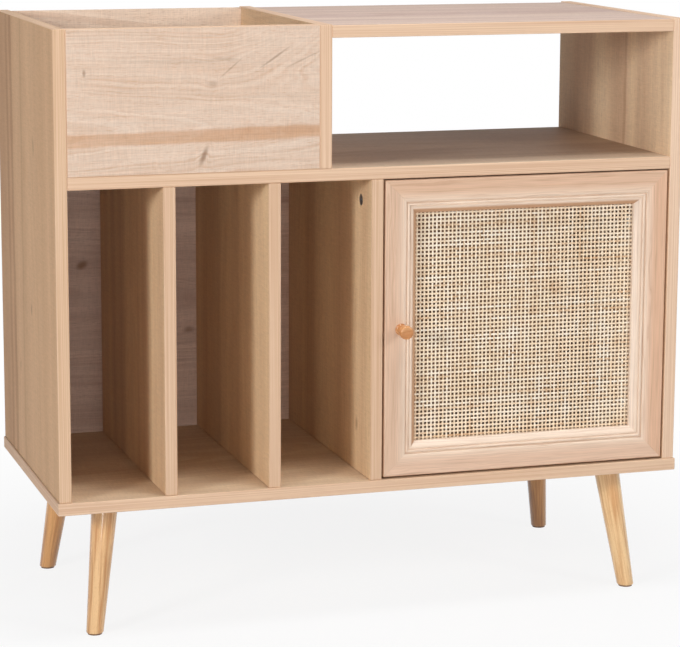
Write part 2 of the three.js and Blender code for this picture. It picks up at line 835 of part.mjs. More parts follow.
const hingePlateFaceX = sideInner - butt - hingePlateThickness;
const hingeArmRight = hingePlateFaceX - butt;
const hingeArmLeft = hingeArmRight - hingeArmWidth;
const hingeArmFront = hingePinY + hingeArmSetback;
const hingeArmRear = hingeArmFront + hingeArmLength;

/** The arm: an eye on the pin, a swan neck that the door's edge swings inside, and a straight back. */
function hingeArm(name, level) {
  const pin = new THREE.Vector2(hingePinX, hingePinY);
  const bend = new THREE.Vector2(Math.cos(hingeNeckAngle), Math.sin(hingeNeckAngle)).multiplyScalar(hingeNeckReach);
  const root = new THREE.Vector2((hingeArmLeft + hingeArmRight) / 2, hingeArmFront + hingeArmWidth / 2);
  const neck = raised(
    ribbonOutline([pin, pin.clone().add(bend), root], hingeNeckThickness),
    level - hingeNeckHeight / 2,
    level + hingeNeckHeight / 2,
  );
  const span = (radius, height) => rod(
    [hingePinX, hingePinY, level - height / 2],
    [hingePinX, hingePinY, level + height / 2],
    radius,
  );
  const back = softBoxBetween(
    [hingeArmLeft, hingeArmFront, level - hingeArmHeight / 2],
    [hingeArmRight, hingeArmRear, level + hingeArmHeight / 2],
    edgeSoftening,
  );
  const whole = join([neck, span(hingeEyeRadius, hingeNeckHeight), back]);
  const bore = span(hingePinRadius + hingeBoreSlip, hingeNeckHeight + overrun);
  return piece(name, cut(whole, [bore]), finishes.nickel);
}

/** The plate screwed to the side panel: a rail along the arm and two screw wings. */
function hingePlate(name, level) {
  const middleY = hingeArmRear - hingePlateLength / 2;
  const slab = (length, height) => softBoxBetween(
    [hingePlateFaceX, middleY - length / 2, level - height / 2],
    [sideInner - butt, middleY + length / 2, level + height / 2],
    edgeSoftening / 2,
  );
  return piece(
    name,
    join([slab(hingePlateLength, hingePlateWidth), slab(hingeWingWidth, hingeWingLength)]),
    finishes.nickel,
  );
}

/** The strike plate on the back of the top rail. */
function catchStrike() {
  const left = doorLeft + catchFromDoorEdge + (catchLength - strikeLength) / 2;
  const top = doorTop - (catchHeight - doorGapTop - strikeHeight) / 2;
  return piece(
    "catch_strike",
    boxBetween(
      [left, doorRearY + butt, top - strikeHeight],
      [left + strikeLength, doorRearY + strikeThickness, top],
    ),
    finishes.zinc,
  );
}

/** The magnetic catch under the shelf: a plastic case with its two poles towards the strike. */
function catchCase() {
  const left = doorLeft + catchFromDoorEdge;
  const front = doorRearY + strikeThickness + slip;
  const caseFront = front + catchPoleReach;
  const body = softBoxBetween(
    [left, caseFront, shelfBottom - butt - catchHeight],
    [left + catchLength, caseFront + catchDepth, shelfBottom - butt],
    edgeSoftening,
  );
  const poleLeft = left + (catchLength - catchPoleLength) / 2;
  const middle = shelfBottom - butt - catchHeight / 2;
  const poles = [-1, 1].map((side) => {
    const level = middle + side * catchPoleHeight;
    return boxBetween(
      [poleLeft, front, level - catchPoleHeight / 2],
      [poleLeft + catchPoleLength, caseFront + overrun, level + catchPoleHeight / 2],
    );
  });
  return piece("catch_case", join([body, ...poles]), finishes.plastic);
}

function door() {
  const moulding = mouldingSection();
  const strip = stripSection();
  const cupBores = Object.values(hingeLevels).map(hingeCupBore);
  const group = new THREE.Group();
  group.add(
    doorLength("door_rail_bottom", "bottom", moulding, finishes.oakMoulding),
    doorLength("door_rail_top", "top", moulding, finishes.oakMoulding),
    doorLength("door_stile_left", "left", moulding, finishes.oakMoulding, [knobScrewBore]),
    doorLength("door_stile_right", "right", moulding, finishes.oakMoulding, cupBores),
    canePanel(),
    doorKnob(),
    knobScrew(),
    catchStrike(),
  );
  for (const side of Object.keys(doorSides)) {
    group.add(doorLength(`cane_strip_${side}`, side, strip, finishes.oakMoulding));
  }
  for (const [place, level] of Object.entries(hingeLevels)) {
    group.add(hingeCup(`hinge_cup_${place}`, level), hingePin(`hinge_pin_${place}`, level));
  }
  return group;
}

/** What the carcase carries for the door: hinge arms on their plates, and the catch. */
function doorFittings() {
  const group = new THREE.Group();
  for (const [place, level] of Object.entries(hingeLevels)) {
    group.add(hingeArm(`hinge_arm_${place}`, level), hingePlate(`hinge_plate_${place}`, level));
  }
  group.add(catchCase());
  return group;
}

const cabinet = new THREE.Group();
cabinet.add(carcase(), legs(), door(), doorFittings());

export default cabinet;
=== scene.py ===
"""Looks of a flat-pack record cabinet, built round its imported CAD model.

The boards and the fittings keep their CAD solids and get finishes. The door frame, the cane
webbing, the legs and the knob are modelled finer here, and the plates' screws get their heads.
Metres throughout, unless a name or a comment says millimetres.
"""

import logging
import math
from collections.abc import Iterator, Sequence
from dataclasses import dataclass
from enum import Enum

import bmesh
import bpy
from mathutils import Matrix, Vector


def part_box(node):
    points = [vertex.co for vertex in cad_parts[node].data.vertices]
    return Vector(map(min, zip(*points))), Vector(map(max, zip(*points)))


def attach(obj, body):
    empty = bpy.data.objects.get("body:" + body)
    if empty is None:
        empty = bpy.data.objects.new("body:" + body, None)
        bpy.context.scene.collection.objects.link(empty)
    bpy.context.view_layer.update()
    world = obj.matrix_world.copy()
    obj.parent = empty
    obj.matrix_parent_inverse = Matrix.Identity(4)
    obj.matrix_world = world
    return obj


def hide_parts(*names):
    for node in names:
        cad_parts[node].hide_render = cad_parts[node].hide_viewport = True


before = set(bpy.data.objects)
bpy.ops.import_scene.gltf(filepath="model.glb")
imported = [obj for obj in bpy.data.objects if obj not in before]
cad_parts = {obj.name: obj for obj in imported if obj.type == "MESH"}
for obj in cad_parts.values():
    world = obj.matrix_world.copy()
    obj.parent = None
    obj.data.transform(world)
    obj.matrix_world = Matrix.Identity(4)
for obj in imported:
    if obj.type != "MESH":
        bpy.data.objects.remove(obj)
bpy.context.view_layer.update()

LOG = logging.getLogger("record_cabinet")
MM = 0.001
CABINET = "cabinet"
DOOR = "door"
CORNERS = ("front_left", "front_right", "rear_left", "rear_right")
HINGES = ("lower", "upper")
# Points that lie this close to a plane, in metres, lie on it
ON_PLANE = 1e-6
# Inputs and settings of a Mix node that blends two colours
SHARE, FIRST, SECOND = 0, 6, 7
BLEND = {"out": 2, "data_type": "RGBA"}


# Helpers


def linear(code: str) -> tuple[float, float, float, float]:
    """Turns an sRGB hex value into a linear colour.

    Args:
        code: Six hex digits, such as "E6C6A4".

    Returns:
        Red, green, blue and an alpha of one.
    """
    parts = [int(code[i : i + 2], 16) / 255 for i in (0, 2, 4)]
    return (*[p / 12.92 if p <= 0.04045 else ((p + 0.055) / 1.055) ** 2.4 for p in parts], 1.0)


class Graph:
    """Node tree of one material or of the world, filled node by node."""

    def __init__(self, owner: bpy.types.ID) -> None:
        """Clears the owner's node tree.

        Args:
            owner: Material or world that the nodes belong to.
        """
        owner.use_nodes = True
        self.tree = owner.node_tree
        self.tree.nodes.clear()

    def add(
        self, kind: str, values: dict | None = None, out: int | str = 0, **settings: object
    ) -> bpy.types.NodeSocket | None:
        """Adds a node with its settings and links.

        Args:
            kind: Node type, without its ShaderNode prefix.
            values: Number, colour or output socket for each input that is set.
            out: Output that is handed back.
            **settings: Properties of the node.

        Returns:
            The named output socket, or None for a node without outputs.
        """
        node = self.tree.nodes.new("ShaderNode" + kind)
        for name, value in settings.items():
            setattr(node, name, value)
        for key, value in (values or {}).items():
            if isinstance(value, bpy.types.NodeSocket):
                self.tree.links.new(value, node.inputs[key])
            else:
                node.inputs[key].default_value = value
        return node.outputs[out] if node.outputs else None


class Axis(Enum):
    """Axis of the cabinet, by its place in a vector."""

    X = 0
    Y = 1
    Z = 2


def mapped(graph: Graph, centre: Vector) -> bpy.types.NodeSocket:
    """Gives the place on the piece in millimetres from a centre.

    Args:
        graph: Node tree that the nodes go into.
        centre: Centre of the piece, in metres.

    Returns:
        Vector output.
    """
    place = graph.add("TexCoord", out="Object")
    moved = graph.add("VectorMath", {0: place, 1: centre}, operation="SUBTRACT")
    return graph.add("VectorMath", {0: moved, "Scale": 1 / MM}, operation="SCALE")


def figured(
    graph: Graph, place: bpy.types.NodeSocket, size: Sequence[float], seed: float, detail: float = 2.0
) -> bpy.types.NodeSocket:
    """Draws a figure of soft patches that have a real size.

    Args:
        graph: Node tree that the nodes go into.
        place: Place on the piece, in millimetres.
        size: Size of a patch along each axis of the place, in millimetres.
        seed: Number that shifts the figure from piece to piece.
        detail: Octaves of finer patches in it.

    Returns:
        Value output, which stays near one half.
    """
    scaled = graph.add("VectorMath", {0: place, 1: [1 / side for side in size]}, operation="MULTIPLY")
    values = {"Vector": scaled, "W": seed, "Scale": 1.0, "Detail": detail}
    return graph.add("TexNoise", values, noise_dimensions="4D")


# Finishes


@dataclass(frozen=True)
class Knot:
    """Knot in the print, in millimetres from the middle of the board.

    Attributes:
        along: Place along the grain.
        across: Place across the grain.
        length: Half length of the dark core.
        width: Half width of the dark core.
        turn: Angle of the core to the grain, in degrees.
        strength: Share of the knot's colour.
    """

    along: float
    across: float
    length: float
    width: float
    turn: float = 0.0
    strength: float = 0.6

    def swelling(self) -> float:
        """Gives the height by which the rings swell over the knot."""
        return min(9.0, 1.4 * self.width)


@dataclass(frozen=True)
class Band:
    """Darker band of heartwood in the print, in millimetres from the middle of the board.

    Attributes:
        across: Place across the grain at the middle.
        slope: Rise across the grain for each unit along it.
        half_width: Half width.
        strength: Share of the band's colour.
    """

    across: float
    slope: float
    half_width: float
    strength: float


@dataclass(frozen=True)
class Sweep:
    """Grain that fans out towards one edge, in millimetres from the middle of the board.

    Attributes:
        start: Place along the grain where the fan starts.
        bend: Rise for each square millimetre beyond it.
        low: Place across the grain where the fan has no share.
        high: Place across the grain where it has its full share.
    """

    start: float
    bend: float
    low: float
    high: float


@dataclass(frozen=True)
class Ground:
    """What the layers of a print are drawn from, in millimetres from the middle of the board.

    Attributes:
        graph: Node tree that the layers' nodes go into.
        place: Place on the board.
        along: Place along the grain.
        across: Place across the grain.
        wave: Small waves that the grain follows.
        patch: Patches in which the grain fades.
    """

    graph: Graph
    place: bpy.types.NodeSocket
    along: bpy.types.NodeSocket
    across: bpy.types.NodeSocket
    wave: bpy.types.NodeSocket
    patch: bpy.types.NodeSocket


@dataclass(frozen=True)
class OakPrint:
    """Melamine paper with an oak print, pressed on chipboard, with matching edge banding.

    A matt paper face under a thin resin film: soft reflections that grow strong only at a flat
    angle, pores that are printed and pressed in slightly, and a banding whose stripes run along
    each edge. Lengths are in millimetres.

    Attributes:
        name: Name of the material.
        grain: Axis along the grain.
        face: Axis square to the printed faces.
        seed: Number that shifts the print from board to board.
        light: Colour of the earlywood.
        dark: Colour of the latewood.
        shade: Colour of the broad darker bands and of the pores.
        core: Colour of a knot's core.
        edge_light: Lighter colour of the edge banding.
        edge_dark: Darker colour of the edge banding.
        rings: Share of the latewood colour.
        bands: Share of the broad bands.
        band_width: Width of a broad band.
        ring_width: Width of a growth ring.
        heart: Distance of the log's heart from the middle, across the grain.
        cut_depth: Distance of the log's heart behind the face.
        taper: Growth of that distance along the grain, which draws the arches.
        sway: Way that the rings bend to each side over a long run.
        sway_length: Length of that run.
        ripple: Way that they bend to each side in small waves.
        swing: Way that the bands of heartwood bend with those waves.
        stripe: Width of a stripe in the edge banding.
        stripe_length: Length of one.
        knots: Knots of the print.
        streaks: Bands of heartwood.
        sweep: Fan of the grain, or none.
        drift: Painted shade: colour that the print is multiplied with towards the end of the grain,
            or none.
        painted_shade_reach: It starts this far before the middle, and is complete this far beyond it.
        reverse: Colour of the unprinted back of a thin board, or none.
        roughness: Roughness of the resin film.
        pore_depth: Depth of the pressed grain.
    """

    name: str
    grain: Axis
    face: Axis
    seed: float
    light: str = "E3CBAC"
    dark: str = "C9A57E"
    shade: str = "B89274"
    core: str = "87644A"
    edge_light: str = "E9CAAB"
    edge_dark: str = "D6B091"
    rings: float = 0.45
    bands: float = 0.3
    band_width: float = 38.0
    ring_width: float = 7.0
    heart: float = 0.0
    cut_depth: float = 60.0
    taper: float = 0.12
    sway: float = 34.0
    sway_length: float = 620.0
    ripple: float = 5.0
    swing: float = 6.0
    stripe: float = 1.1
    stripe_length: float = 260.0
    knots: tuple[Knot, ...] = ()
    streaks: tuple[Band, ...] = ()
    sweep: Sweep | None = None
    drift: str | None = None
    painted_shade_reach: float = 60.0
    reverse: str | None = None
    roughness: float = 0.6
    pore_depth: float = 0.05

    def material(self, centre: Vector) -> bpy.types.Material:
        """Makes the material.

        Args:
            centre: Centre of the board, in metres.

        Returns:
            The material.
        """
        made = bpy.data.materials.new(self.name)
        g = Graph(made)
        place = mapped(g, centre)
        parts = g.add("SeparateXYZ", {0: place}).node.outputs
        across_axis = 3 - self.grain.value - self.face.value
        along, across, depth = parts[self.grain.value], parts[across_axis], parts[self.face.value]
        grained = g.add("CombineXYZ", {0: along, 1: across, 2: depth})

        # Small waves of the rings, some 80 mm long
        wave = figured(g, grained, (80, 16, 16), self.seed)
        # The rings fade and come back in patches, some 110 mm by 22 mm
        patch = figured(g, grained, (110, 22, 22), self.seed)
        patch = g.add("MapRange", {"Value": patch, "From Min": 0.38, "From Max": 0.62, "To Min": 0.25})
        # Broad bands, some 1.9 m long
        broad = figured(g, grained, (1900, self.band_width, self.band_width), self.seed)
        broad = g.add("MapRange", {"Value": broad, "From Min": 0.38, "From Max": 0.66, "To Max": self.bands})
        # Fibres 0.9 mm wide and pores 0.5 mm wide, as the real print has them
        fibre = figured(g, grained, (60, 0.9, 0.9), self.seed)
        pore = figured(g, grained, (7, 0.5, 0.5), self.seed, 0.0)
        pore = g.add("MapRange", {"Value": pore, "From Min": 0.6, "From Max": 0.78, "To Max": 0.45})
        # Saw marks of the print, 1.3 mm apart and square to the grain
        saw = figured(g, grained, (1.3, 13, 13), self.seed, 1.0)

        ground = Ground(g, place, along, across, wave, patch)
        rise, core = self.knotted(ground)
        ring = self.ringed(ground, rise)
        colour = g.add("Mix", {SHARE: ring, FIRST: linear(self.light), SECOND: linear(self.dark)}, **BLEND)
        colour = g.add("Mix", {SHARE: broad, FIRST: colour, SECOND: linear(self.shade)}, **BLEND)
        if self.streaks:
            colour = self.streaked(ground, colour)
        colour = g.add("Mix", {SHARE: pore, FIRST: colour, SECOND: linear(self.shade)}, **BLEND)
        fine = g.add("Math", {0: fibre, 1: 0.6}, operation="MULTIPLY")
        fine = g.add("Math", {0: saw, 1: 0.4, 2: fine}, operation="MULTIPLY_ADD")
        limits = {"From Min": 0.34, "From Max": 0.66, "To Min": 0.9, "To Max": 1.1}
        gain = g.add("MapRange", {"Value": fine, **limits})
        colour = g.add("VectorMath", {0: colour, "Scale": gain}, operation="SCALE")
        if self.drift:
            # Painted shade: the print is darkened towards the end of the grain
            limits = {"From Min": -self.painted_shade_reach, "From Max": self.painted_shade_reach}
            painted_shade_share = g.add("MapRange", {"Value": along, **limits}, interpolation_type="SMOOTHSTEP")
            tint = {SHARE: painted_shade_share, FIRST: colour, SECOND: linear(self.drift)}
            colour = g.add("Mix", tint, blend_type="MULTIPLY", **BLEND)
        if core is not None:
            colour = g.add("Mix", {SHARE: core, FIRST: colour, SECOND: linear(self.core)}, **BLEND)
        colour = self.bordered(ground, colour)

        limits = {"To Min": self.roughness - 0.05, "To Max": self.roughness + 0.1}
        rough = g.add("MapRange", {"Value": fibre, **limits})
        height = g.add("Math", {0: pore, 1: fibre}, operation="SUBTRACT")
        relief = {"Strength": 0.25, "Distance": self.pore_depth * MM, "Height": height}
        look = {
            "Base Color": colour,
            "Roughness": rough,
            "Normal": g.add("Bump", relief, invert=True),
            "IOR": 1.5,
            "Specular IOR Level": 0.25,
        }
        g.add("OutputMaterial", {"Surface": g.add("BsdfPrincipled", look)})
        return made

    def knotted(self, ground: Ground) -> tuple[bpy.types.NodeSocket, bpy.types.NodeSocket | None]:
        """Lays the knots into the print.

        Args:
            ground: What the print is drawn from.

        Returns:
            Height over the log's heart, which swells round each knot, and the share of the knots'
            colour, or none without knots.
        """
        g = ground.graph
        rise = g.add("Math", {0: ground.along, 1: self.taper, 2: self.cut_depth}, operation="MULTIPLY_ADD")
        share = None
        for knot in self.knots:
            # Each knot is an ellipse turned to the grain; its reach is one at the ellipse
            offset = g.add("CombineXYZ", {0: ground.along, 1: ground.across})
            middle = (knot.along, knot.across, 0)
            offset = g.add("VectorMath", {0: offset, 1: middle}, operation="SUBTRACT")
            turn = {"Vector": offset, "Angle": -math.radians(knot.turn)}
            offset = g.add("VectorRotate", turn, rotation_type="Z_AXIS")
            size = (1 / knot.length, 1 / knot.width, 0)
            offset = g.add("VectorMath", {0: offset, 1: size}, operation="MULTIPLY")
            reach = g.add("VectorMath", {0: offset}, out="Value", operation="LENGTH")
            limits = {"From Min": 0.0, "From Max": 4.5, "To Min": knot.swelling(), "To Max": 0.0}
            swell = g.add("MapRange", {"Value": reach, **limits}, interpolation_type="SMOOTHERSTEP")
            rise = g.add("Math", {0: rise, 1: swell}, operation="ADD")
            limits = {"From Min": 0.1, "From Max": 2.1, "To Min": knot.strength, "To Max": 0.0}
            core = g.add("MapRange", {"Value": reach, **limits}, interpolation_type="SMOOTHERSTEP")
            share = core if share is None else g.add("Math", {0: share, 1: core}, operation="MAXIMUM")
        return rise, share

    def ringed(self, ground: Ground, rise: bpy.types.NodeSocket) -> bpy.types.NodeSocket:
        """Draws the growth rings round the log's heart.

        Args:
            ground: What the print is drawn from.
            rise: Height over the log's heart.

        Returns:
            Share of the latewood colour.
        """
        g, along, across = ground.graph, ground.along, ground.across
        # The boards' rings bend slowly along the grain
        slow = g.add("Math", {0: along, 1: 1 / self.sway_length, 2: self.seed}, operation="MULTIPLY_ADD")
        sway = g.add("TexNoise", {"W": slow, "Scale": 1.0, "Detail": 1.0}, noise_dimensions="1D")
        sway = g.add("MapRange", {"Value": sway, "To Min": -self.sway, "To Max": self.sway})
        aside = g.add("Math", {0: across, 1: sway}, operation="ADD")
        if self.sweep:
            beyond = g.add("Math", {0: along, 1: self.sweep.start}, operation="SUBTRACT")
            beyond = g.add("Math", {0: beyond, 1: 0.0}, operation="MAXIMUM")
            rising = g.add("Math", {0: beyond, 1: beyond}, operation="MULTIPLY")
            limits = {"From Min": self.sweep.low, "From Max": self.sweep.high, "To Max": -self.sweep.bend}
            share = g.add("MapRange", {"Value": across, **limits}, interpolation_type="SMOOTHSTEP")
            aside = g.add("Math", {0: rising, 1: share, 2: aside}, operation="MULTIPLY_ADD")
        aside = g.add("Math", {0: aside, 1: self.heart}, operation="SUBTRACT")
        place = g.add("CombineXYZ", {0: aside, 1: rise})
        radius = g.add("VectorMath", {0: place}, out="Value", operation="LENGTH")
        ripple = g.add("MapRange", {"Value": ground.wave, "To Min": -self.ripple, "To Max": self.ripple})
        radius = g.add("Math", {0: ripple, 1: radius}, operation="ADD")
        number = g.add("Math", {0: radius, 1: 1 / self.ring_width, 2: self.seed}, operation="MULTIPLY_ADD")
        values = {"W": number, "Scale": 1.0, "Detail": 2.5, "Roughness": 0.65}
        ring = g.add("TexNoise", values, noise_dimensions="1D")
        ring = g.add("MapRange", {"Value": ring, "From Min": 0.36, "From Max": 0.66, "To Max": self.rings})
        return g.add("Math", {0: ring, 1: ground.patch}, operation="MULTIPLY")

    def streaked(self, ground: Ground, colour: bpy.types.NodeSocket) -> bpy.types.NodeSocket:
        """Lays the bands of heartwood over the print.

        Args:
            ground: What the print is drawn from.
            colour: Colour so far.

        Returns:
            Colour with the bands.
        """
        g, along, across = ground.graph, ground.along, ground.across
        swing = g.add("MapRange", {"Value": ground.wave, "To Min": -self.swing, "To Max": self.swing})
        faded = g.add("MapRange", {"Value": ground.patch, "To Min": 0.72})
        for streak in self.streaks:
            line = g.add("Math", {0: along, 1: streak.slope, 2: streak.across}, operation="MULTIPLY_ADD")
            line = g.add("Math", {0: line, 1: swing}, operation="ADD")
            off = g.add("Math", {0: across, 1: line}, operation="SUBTRACT")
            off = g.add("Math", {0: off}, operation="ABSOLUTE")
            width = {"From Min": streak.half_width * 0.5, "From Max": streak.half_width}
            fall = {"To Min": streak.strength, "To Max": 0.0}
            share = g.add("MapRange", {"Value": off, **width, **fall}, interpolation_type="SMOOTHSTEP")
            share = g.add("Math", {0: share, 1: faded}, operation="MULTIPLY")
            colour = g.add("Mix", {SHARE: share, FIRST: colour, SECOND: linear(self.shade)}, **BLEND)
        return colour

    def bordered(self, ground: Ground, colour: bpy.types.NodeSocket) -> bpy.types.NodeSocket:
        """Puts the banding on the edges, and the raw board on the back of a thin board.

        Args:
            ground: What the print is drawn from.
            colour: Colour of the printed faces.

        Returns:
            Colour of the whole board.
        """
        g, place = ground.graph, ground.place
        # The stripes run along every edge, whichever way it runs
        size = [self.stripe_length] * 3
        size[self.face.value] = self.stripe
        stripe = figured(g, place, size, self.seed, 1.5)
        stripe = g.add("MapRange", {"Value": stripe, "From Min": 0.34, "From Max": 0.66})
        tones = {FIRST: linear(self.edge_light), SECOND: linear(self.edge_dark)}
        edge = g.add("Mix", {SHARE: stripe, **tones}, **BLEND)
        facing = g.add("SeparateXYZ", {0: g.add("TexCoord", out="Normal")}).node.outputs[self.face.value]
        flat = g.add("Math", {0: facing}, operation="ABSOLUTE")
        limits = {"From Min": 0.8, "From Max": 0.95, "To Min": 1.0, "To Max": 0.0}
        is_edge = g.add("MapRange", {"Value": flat, **limits})
        colour = g.add("Mix", {SHARE: is_edge, FIRST: colour, SECOND: edge}, **BLEND)
        if self.reverse:
            # The raw board is felted, in tufts some 3 mm across
            behind = g.add("Math", {0: facing, 1: 0.5}, operation="GREATER_THAN")
            felt = g.add("TexNoise", {"Vector": place, "Scale": 0.35, "Detail": 4.0})
            gain = g.add("MapRange", {"Value": felt, "To Min": 0.86, "To Max": 1.12})
            raw = g.add("VectorMath", {0: linear(self.reverse)[:3], "Scale": gain}, operation="SCALE")
            colour = g.add("Mix", {SHARE: behind, FIRST: colour, SECOND: raw}, **BLEND)
        return colour


@dataclass(frozen=True)
class OakFoil:
    """Printed foil wrapped round the door's moulding.

    A thin film with the grain along each length: slightly glossier than the boards, darker and
    pinker on the outer flat, paler on the bead and the roll. It reads the attributes foil_along
    and foil_across. Lengths are in millimetres.

    Attributes:
        name: Name of the material.
        seed: Number that shifts the print.
        outer: Colour of the outer flat.
        lip: Colour of the chamfer beside the webbing, a painted shade where the chamfer faces down
            or right and a painted light where it faces up or left.
        inner: Colour of the inner members.
        line: Colour of the darker lines.
        turn_from: Distance across the foil at which outer starts to pass into inner.
        turn_to: Distance across the foil at which it has.
        lip_from: Distance across the foil at which inner starts to pass into lip.
        lip_to: Distance across the foil at which it has.
        line_width: Width of a darker line.
        ripple: Way that the lines bend to each side.
    """

    name: str
    seed: float
    outer: str
    lip: str
    inner: str = "F1DAC3"
    line: str = "BF9476"
    turn_from: float = 30.0
    turn_to: float = 50.0
    lip_from: float = 60.0
    lip_to: float = 63.0
    line_width: float = 5.0
    ripple: float = 9.0

    def material(self) -> bpy.types.Material:
        """Makes the material.

        Returns:
            The material.
        """
        made = bpy.data.materials.new(self.name)
        g = Graph(made)
        along = g.add("Attribute", out="Fac", attribute_name="foil_along")
        across = g.add("Attribute", out="Fac", attribute_name="foil_across")
        place = g.add("CombineXYZ", {0: along, 1: across})
        wave = figured(g, place, (95, 12, 1), self.seed)
        bent = g.add("MapRange", {"Value": wave, "To Min": -self.ripple, "To Max": self.ripple})
        bent = g.add("Math", {0: across, 1: bent}, operation="ADD")
        number = g.add("Math", {0: bent, 1: 1 / self.line_width, 2: self.seed}, operation="MULTIPLY_ADD")
        values = {"W": number, "Scale": 1.0, "Detail": 3.0, "Roughness": 0.7}
        line = g.add("TexNoise", values, noise_dimensions="1D")
        line = g.add("MapRange", {"Value": line, "From Min": 0.42, "From Max": 0.7, "To Max": 0.5})
        # The lines fade and come back in patches, some 60 mm by 7 mm
        patch = figured(g, place, (60, 7, 1), self.seed)
        patch = g.add("MapRange", {"Value": patch, "From Min": 0.36, "From Max": 0.6, "To Min": 0.15})
        line = g.add("Math", {0: line, 1: patch}, operation="MULTIPLY")
        # Fibres 0.8 mm wide
        fibre = figured(g, place, (70, 0.8, 1), self.seed)

        limits = {"From Min": self.turn_from, "From Max": self.turn_to}
        base = g.add("MapRange", {"Value": across, **limits}, interpolation_type="SMOOTHSTEP")
        colour = g.add("Mix", {SHARE: base, FIRST: linear(self.outer), SECOND: linear(self.inner)}, **BLEND)
        # The chamfer by the webbing takes the lip colour, painted shade on two lengths and painted light on
        # two
        limits = {"From Min": self.lip_from, "From Max": self.lip_to}
        edge = g.add("MapRange", {"Value": across, **limits})
        colour = g.add("Mix", {SHARE: edge, FIRST: colour, SECOND: linear(self.lip)}, **BLEND)
        colour = g.add("Mix", {SHARE: line, FIRST: colour, SECOND: linear(self.line)}, **BLEND)
        limits = {"From Min": 0.34, "From Max": 0.66, "To Min": 0.9, "To Max": 1.08}
        gain = g.add("MapRange", {"Value": fibre, **limits})
        look = {
            "Base Color": g.add("VectorMath", {0: colour, "Scale": gain}, operation="SCALE"),
            "Roughness": 0.5,
            "Normal": g.add("Bump", {"Strength": 0.2, "Distance": 0.04 * MM, "Height": fibre}),
            "IOR": 1.5,
            "Specular IOR Level": 0.35,
        }
        g.add("OutputMaterial", {"Surface": g.add("BsdfPrincipled", look)})
        return made


@dataclass(frozen=True)
class Cane:
    """Natural cane strand: the split skin of rattan, dry and slightly waxy.

    Each strand has its own tone, with brown patches at its joints and paler runs between them.
    Lengths are in millimetres.

    Attributes:
        name: Name of the material.
        along: Axis that the strands run along.
        across: Axis that they are counted across.
        pitch: Distance from strand to strand.
        pale: Palest colour.
        body: Usual colour.
        brown: Colour of the darker patches.
        patch_length: Length of a patch.
        own_tone: Share of tone by which strands differ.
    """

    name: str
    along: Axis
    across: Axis
    pitch: float
    pale: str = "FFF3DF"
    body: str = "F9E2C1"
    brown: str = "C89768"
    patch_length: float = 26.0
    own_tone: float = 0.35

    def material(self, centre: Vector) -> bpy.types.Material:
        """Makes the material.

        Args:
            centre: Centre of the webbing, in metres.

        Returns:
            The material.
        """
        made = bpy.data.materials.new(self.name)
        g = Graph(made)
        parts = g.add("SeparateXYZ", {0: mapped(g, centre)}).node.outputs
        along, across = parts[self.along.value], parts[self.across.value]
        # Each pitch has a number, and a tone with it
        counted = g.add("Math", {0: across, 1: 1 / self.pitch, 2: 0.5}, operation="MULTIPLY_ADD")
        number = g.add("Math", {0: counted}, operation="FLOOR")
        own = g.add("TexWhiteNoise", {"W": number}, noise_dimensions="1D")
        tone_of = {0: own, 1: self.own_tone, 2: -self.own_tone / 2}
        tone = g.add("Math", tone_of, operation="MULTIPLY_ADD")
        # A step of 7.3 from number to number, so that no two share their patches
        shifted = g.add("Math", {0: number, 1: 7.3}, operation="MULTIPLY")
        run = g.add("Math", {0: along, 1: 1 / self.patch_length}, operation="MULTIPLY")
        place = g.add("CombineXYZ", {0: run, 1: shifted})
        patch = g.add("TexNoise", {"Vector": place, "Scale": 1.0, "Detail": 3.0, "Roughness": 0.6})
        tone = g.add("Math", {0: patch, 1: tone}, operation="ADD")
        # Neighbouring strands of one hank share a tone, over some 14 mm by 150 mm
        hank = g.add("CombineXYZ", {0: along, 1: across})
        hank = g.add("VectorMath", {0: hank, 1: (1 / 150, 1 / 14, 0)}, operation="MULTIPLY")
        broad = g.add("TexNoise", {"Vector": hank, "Scale": 1.0, "Detail": 2.0})
        tone = g.add("Math", {0: broad, 1: 1.0, 2: tone}, operation="MULTIPLY_ADD")

        brown = g.add("MapRange", {"Value": tone, "From Min": 1.04, "From Max": 1.4, "To Max": 0.75})
        limits = {"From Min": 0.68, "From Max": 1.0, "To Min": 0.9, "To Max": 0.0}
        pale = g.add("MapRange", {"Value": tone, **limits})
        colour = g.add("Mix", {SHARE: pale, FIRST: linear(self.body), SECOND: linear(self.pale)}, **BLEND)
        colour = g.add("Mix", {SHARE: brown, FIRST: colour, SECOND: linear(self.brown)}, **BLEND)
        look = {"Base Color": colour, "Roughness": 0.65, "IOR": 1.5, "Specular IOR Level": 0.08}
        g.add("OutputMaterial", {"Surface": g.add("BsdfPrincipled", look)})
        return made


